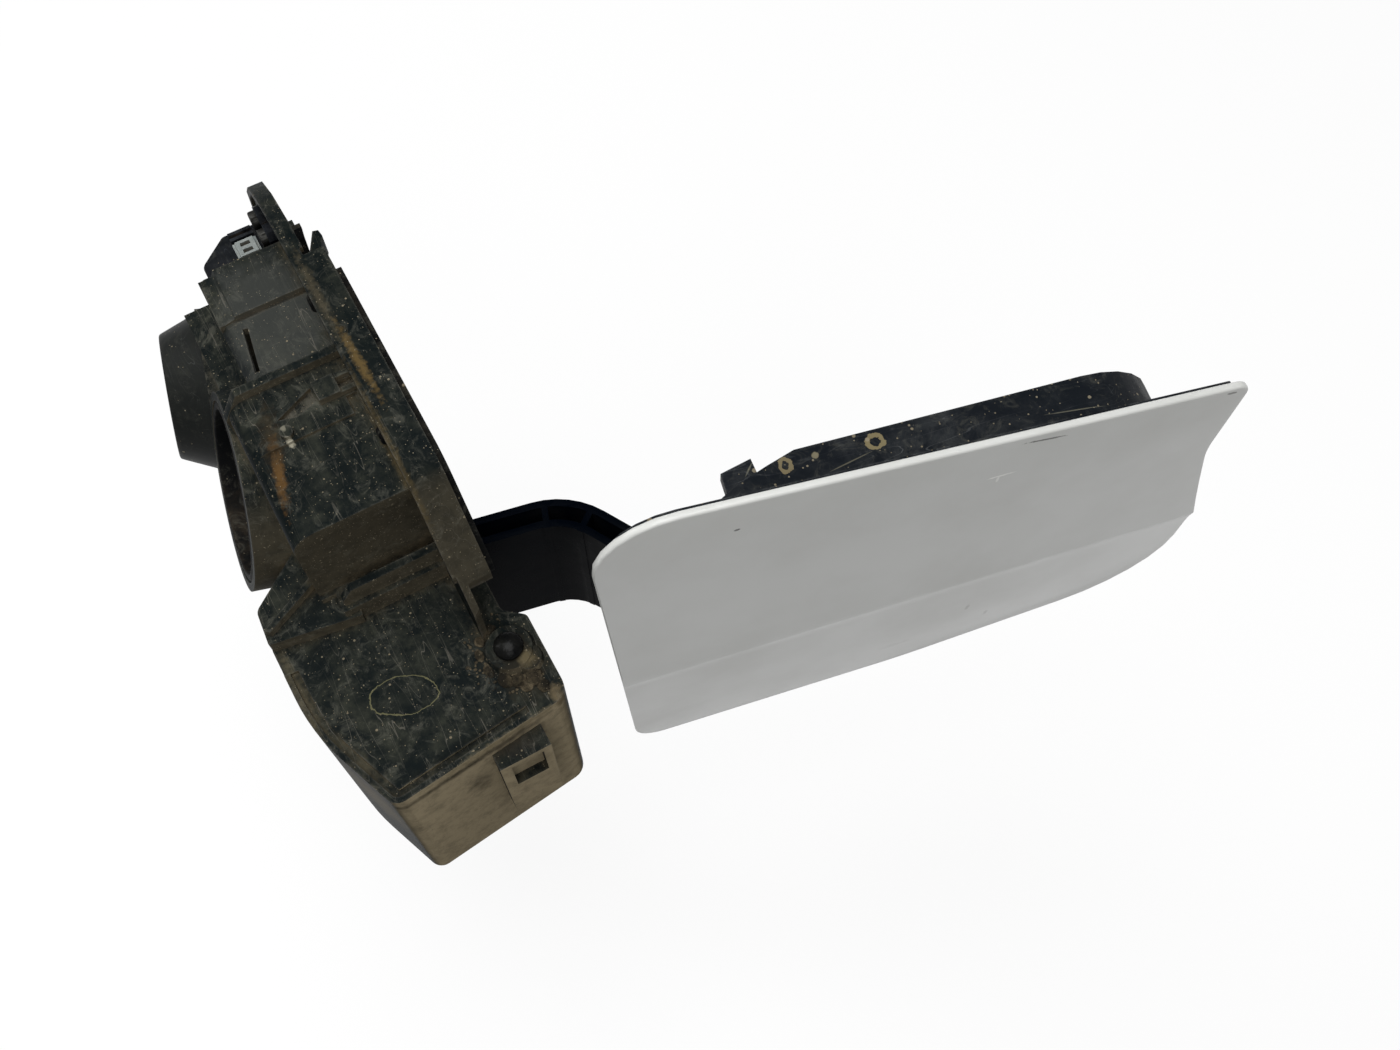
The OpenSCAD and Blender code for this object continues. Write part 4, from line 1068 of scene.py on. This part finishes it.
@dataclass
class Studio:
    """Plain floor, soft lamps and the camera at the photograph's angle."""

    eye_mm: tuple[float, float, float] = (-145.9, 22.9, 412.4)
    aim_mm: tuple[float, float, float] = (22.3, -70.3, 0.0)
    focal_px: float = 1500.0
    image_px: float = 1400.0
    floor_drop: float = 0.16
    floor_size: float = 12.0
    floor_glow: float = 0.82
    air: float = 0.3
    air_seen: float = 0.96
    lamps: tuple[SoftBox, ...] = (
        SoftBox("soft_box_overhead", (0.1, 0.12, 1.5), 0.9, 16.0),
        SoftBox("soft_box_front", (-0.9, 0.3, 1.2), 0.8, 5.2),
        SoftBox("soft_box_back", (1.0, 0.9, 0.9), 0.8, 8.0),
    )

    def camera(self) -> None:
        """Places the camera that the bowl's edges give for the photograph."""
        eye, aim = at(*self.eye_mm), at(*self.aim_mm)
        lens = bpy.data.cameras.new("photo_view")
        lens.sensor_width = 36.0
        lens.lens = 36.0 * self.focal_px / self.image_px
        lens.clip_start, lens.clip_end = 0.01, 50.0
        camera = bpy.data.objects.new("photo_view", lens)
        bpy.context.scene.collection.objects.link(camera)
        camera.location = eye
        camera.rotation_euler = (aim - eye).to_track_quat("-Z", "Y").to_euler()
        bpy.context.scene.camera = camera

    def floor(self, centre: Vector, height: float) -> None:
        """Lays the floor: grey to the light that it gives back, white to the eye, with the object's shadow on it.

        Args:
            centre: middle of the object.
            height: height of the floor.
        """
        deselect()
        bpy.ops.mesh.primitive_plane_add(size=self.floor_size, location=(centre.x, centre.y, height))
        floor = bpy.context.object
        floor.name = "studio_floor"
        material, tree, _ = fresh_material("floor_paint_pale")
        path = add(tree, "ShaderNodeLightPath").outputs
        direct = calc(tree, "MAXIMUM", path["Is Camera Ray"], path["Is Glossy Ray"])
        seen = calc(tree, "MAXIMUM", direct, path["Is Transmission Ray"])
        tone = mix(tree, seen, (0.2, 0.2, 0.2, 1.0), (0.95, 0.95, 0.95, 1.0))
        shader = add(tree, "ShaderNodeBsdfPrincipled", {"Base Color": tone, "Roughness": 0.95,
                                                        "Specular IOR Level": 0.0})
        lift = add(tree, "ShaderNodeEmission", {"Color": (1.0, 1.0, 1.0, 1.0), "Strength": 1.0})
        share = calc(tree, "MULTIPLY", seen, self.floor_glow)
        both = add(tree, "ShaderNodeMixShader", {0: share, 1: shader.outputs[0], 2: lift.outputs[0]})
        add(tree, "ShaderNodeOutputMaterial", {"Surface": both.outputs[0]})
        floor.data.materials.append(material)
        floor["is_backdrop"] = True

    def build(self) -> None:
        """Builds floor, world, lamps and camera."""
        scene = bpy.context.scene
        scene.view_settings.view_transform = "Standard"
        low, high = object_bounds()
        centre = (low + high) / 2
        self.floor(centre, low.z - self.floor_drop)
        world = bpy.data.worlds.new("studio_air")
        scene.world = world
        world.use_nodes = True
        sky = world.node_tree.nodes["Background"].inputs
        sky["Color"].default_value = (1.0, 1.0, 1.0, 1.0)
        path = add(world.node_tree, "ShaderNodeLightPath").outputs
        air = ramp(world.node_tree, path["Is Camera Ray"], 0.0, 1.0, self.air, self.air_seen)
        world.node_tree.links.new(air, sky["Strength"])
        for box in self.lamps:
            box.hang(centre)
        self.camera()


@dataclass
class FillerUnit:
    """The whole unit: which pieces get rounded tool edges, and what every piece wears."""

    soft: tuple[SoftEdged, ...] = (
        SoftEdged("bowl_housing", Body.BOWL, 0.5), SoftEdged("second_neck_boot", Body.BOWL, 0.5),
        SoftEdged("fuel_neck_seal", Body.BOWL, 0.4), SoftEdged("rim_seal", Body.BOWL, 0.3),
        SoftEdged("stop_buffers", Body.BOWL, 0.5), SoftEdged("hinge_pin", Body.BOWL, 0.2),
        SoftEdged("actuator_case", Body.BOWL, 0.35), SoftEdged("actuator_cover", Body.BOWL, 0.3),
        SoftEdged("actuator_connector", Body.BOWL, 0.15), SoftEdged("latch_case", Body.BOWL, 0.2),
        PressedPanel("outer_panel", Body.DOOR, 0.7, 3, 40.0), SoftEdged("inner_carrier", Body.DOOR, 0.5),
        SoftEdged("hinge_arm", Body.DOOR, 0.6, 2, 30.0), SoftEdged("striker_box", Body.DOOR, 0.25),
        SoftEdged("latch_plunger", Body.PLUNGER, 0.2), SoftEdged("latch_head", Body.HEAD, 0.2),
        SoftEdged("lock_bolt", Body.BOLT, 0.25),
    )

    def build(self) -> None:
        """Builds the soft-edged and modelled pieces and dresses the rest."""
        for name, finish in NODE_FINISH.items():
            dress(frame["nodes"][name], finish)
        for piece in self.soft:
            piece.build()
        HingeSpring().build()
        ActuatorScrews().build()
        PackedDirt().build()


def main() -> None:
    """Builds the unit and the studio in order."""
    FillerUnit().build()
    Studio().build()


if __name__ == "__main__":
    logging.basicConfig(level=logging.INFO, format="%(message)s")
    main()
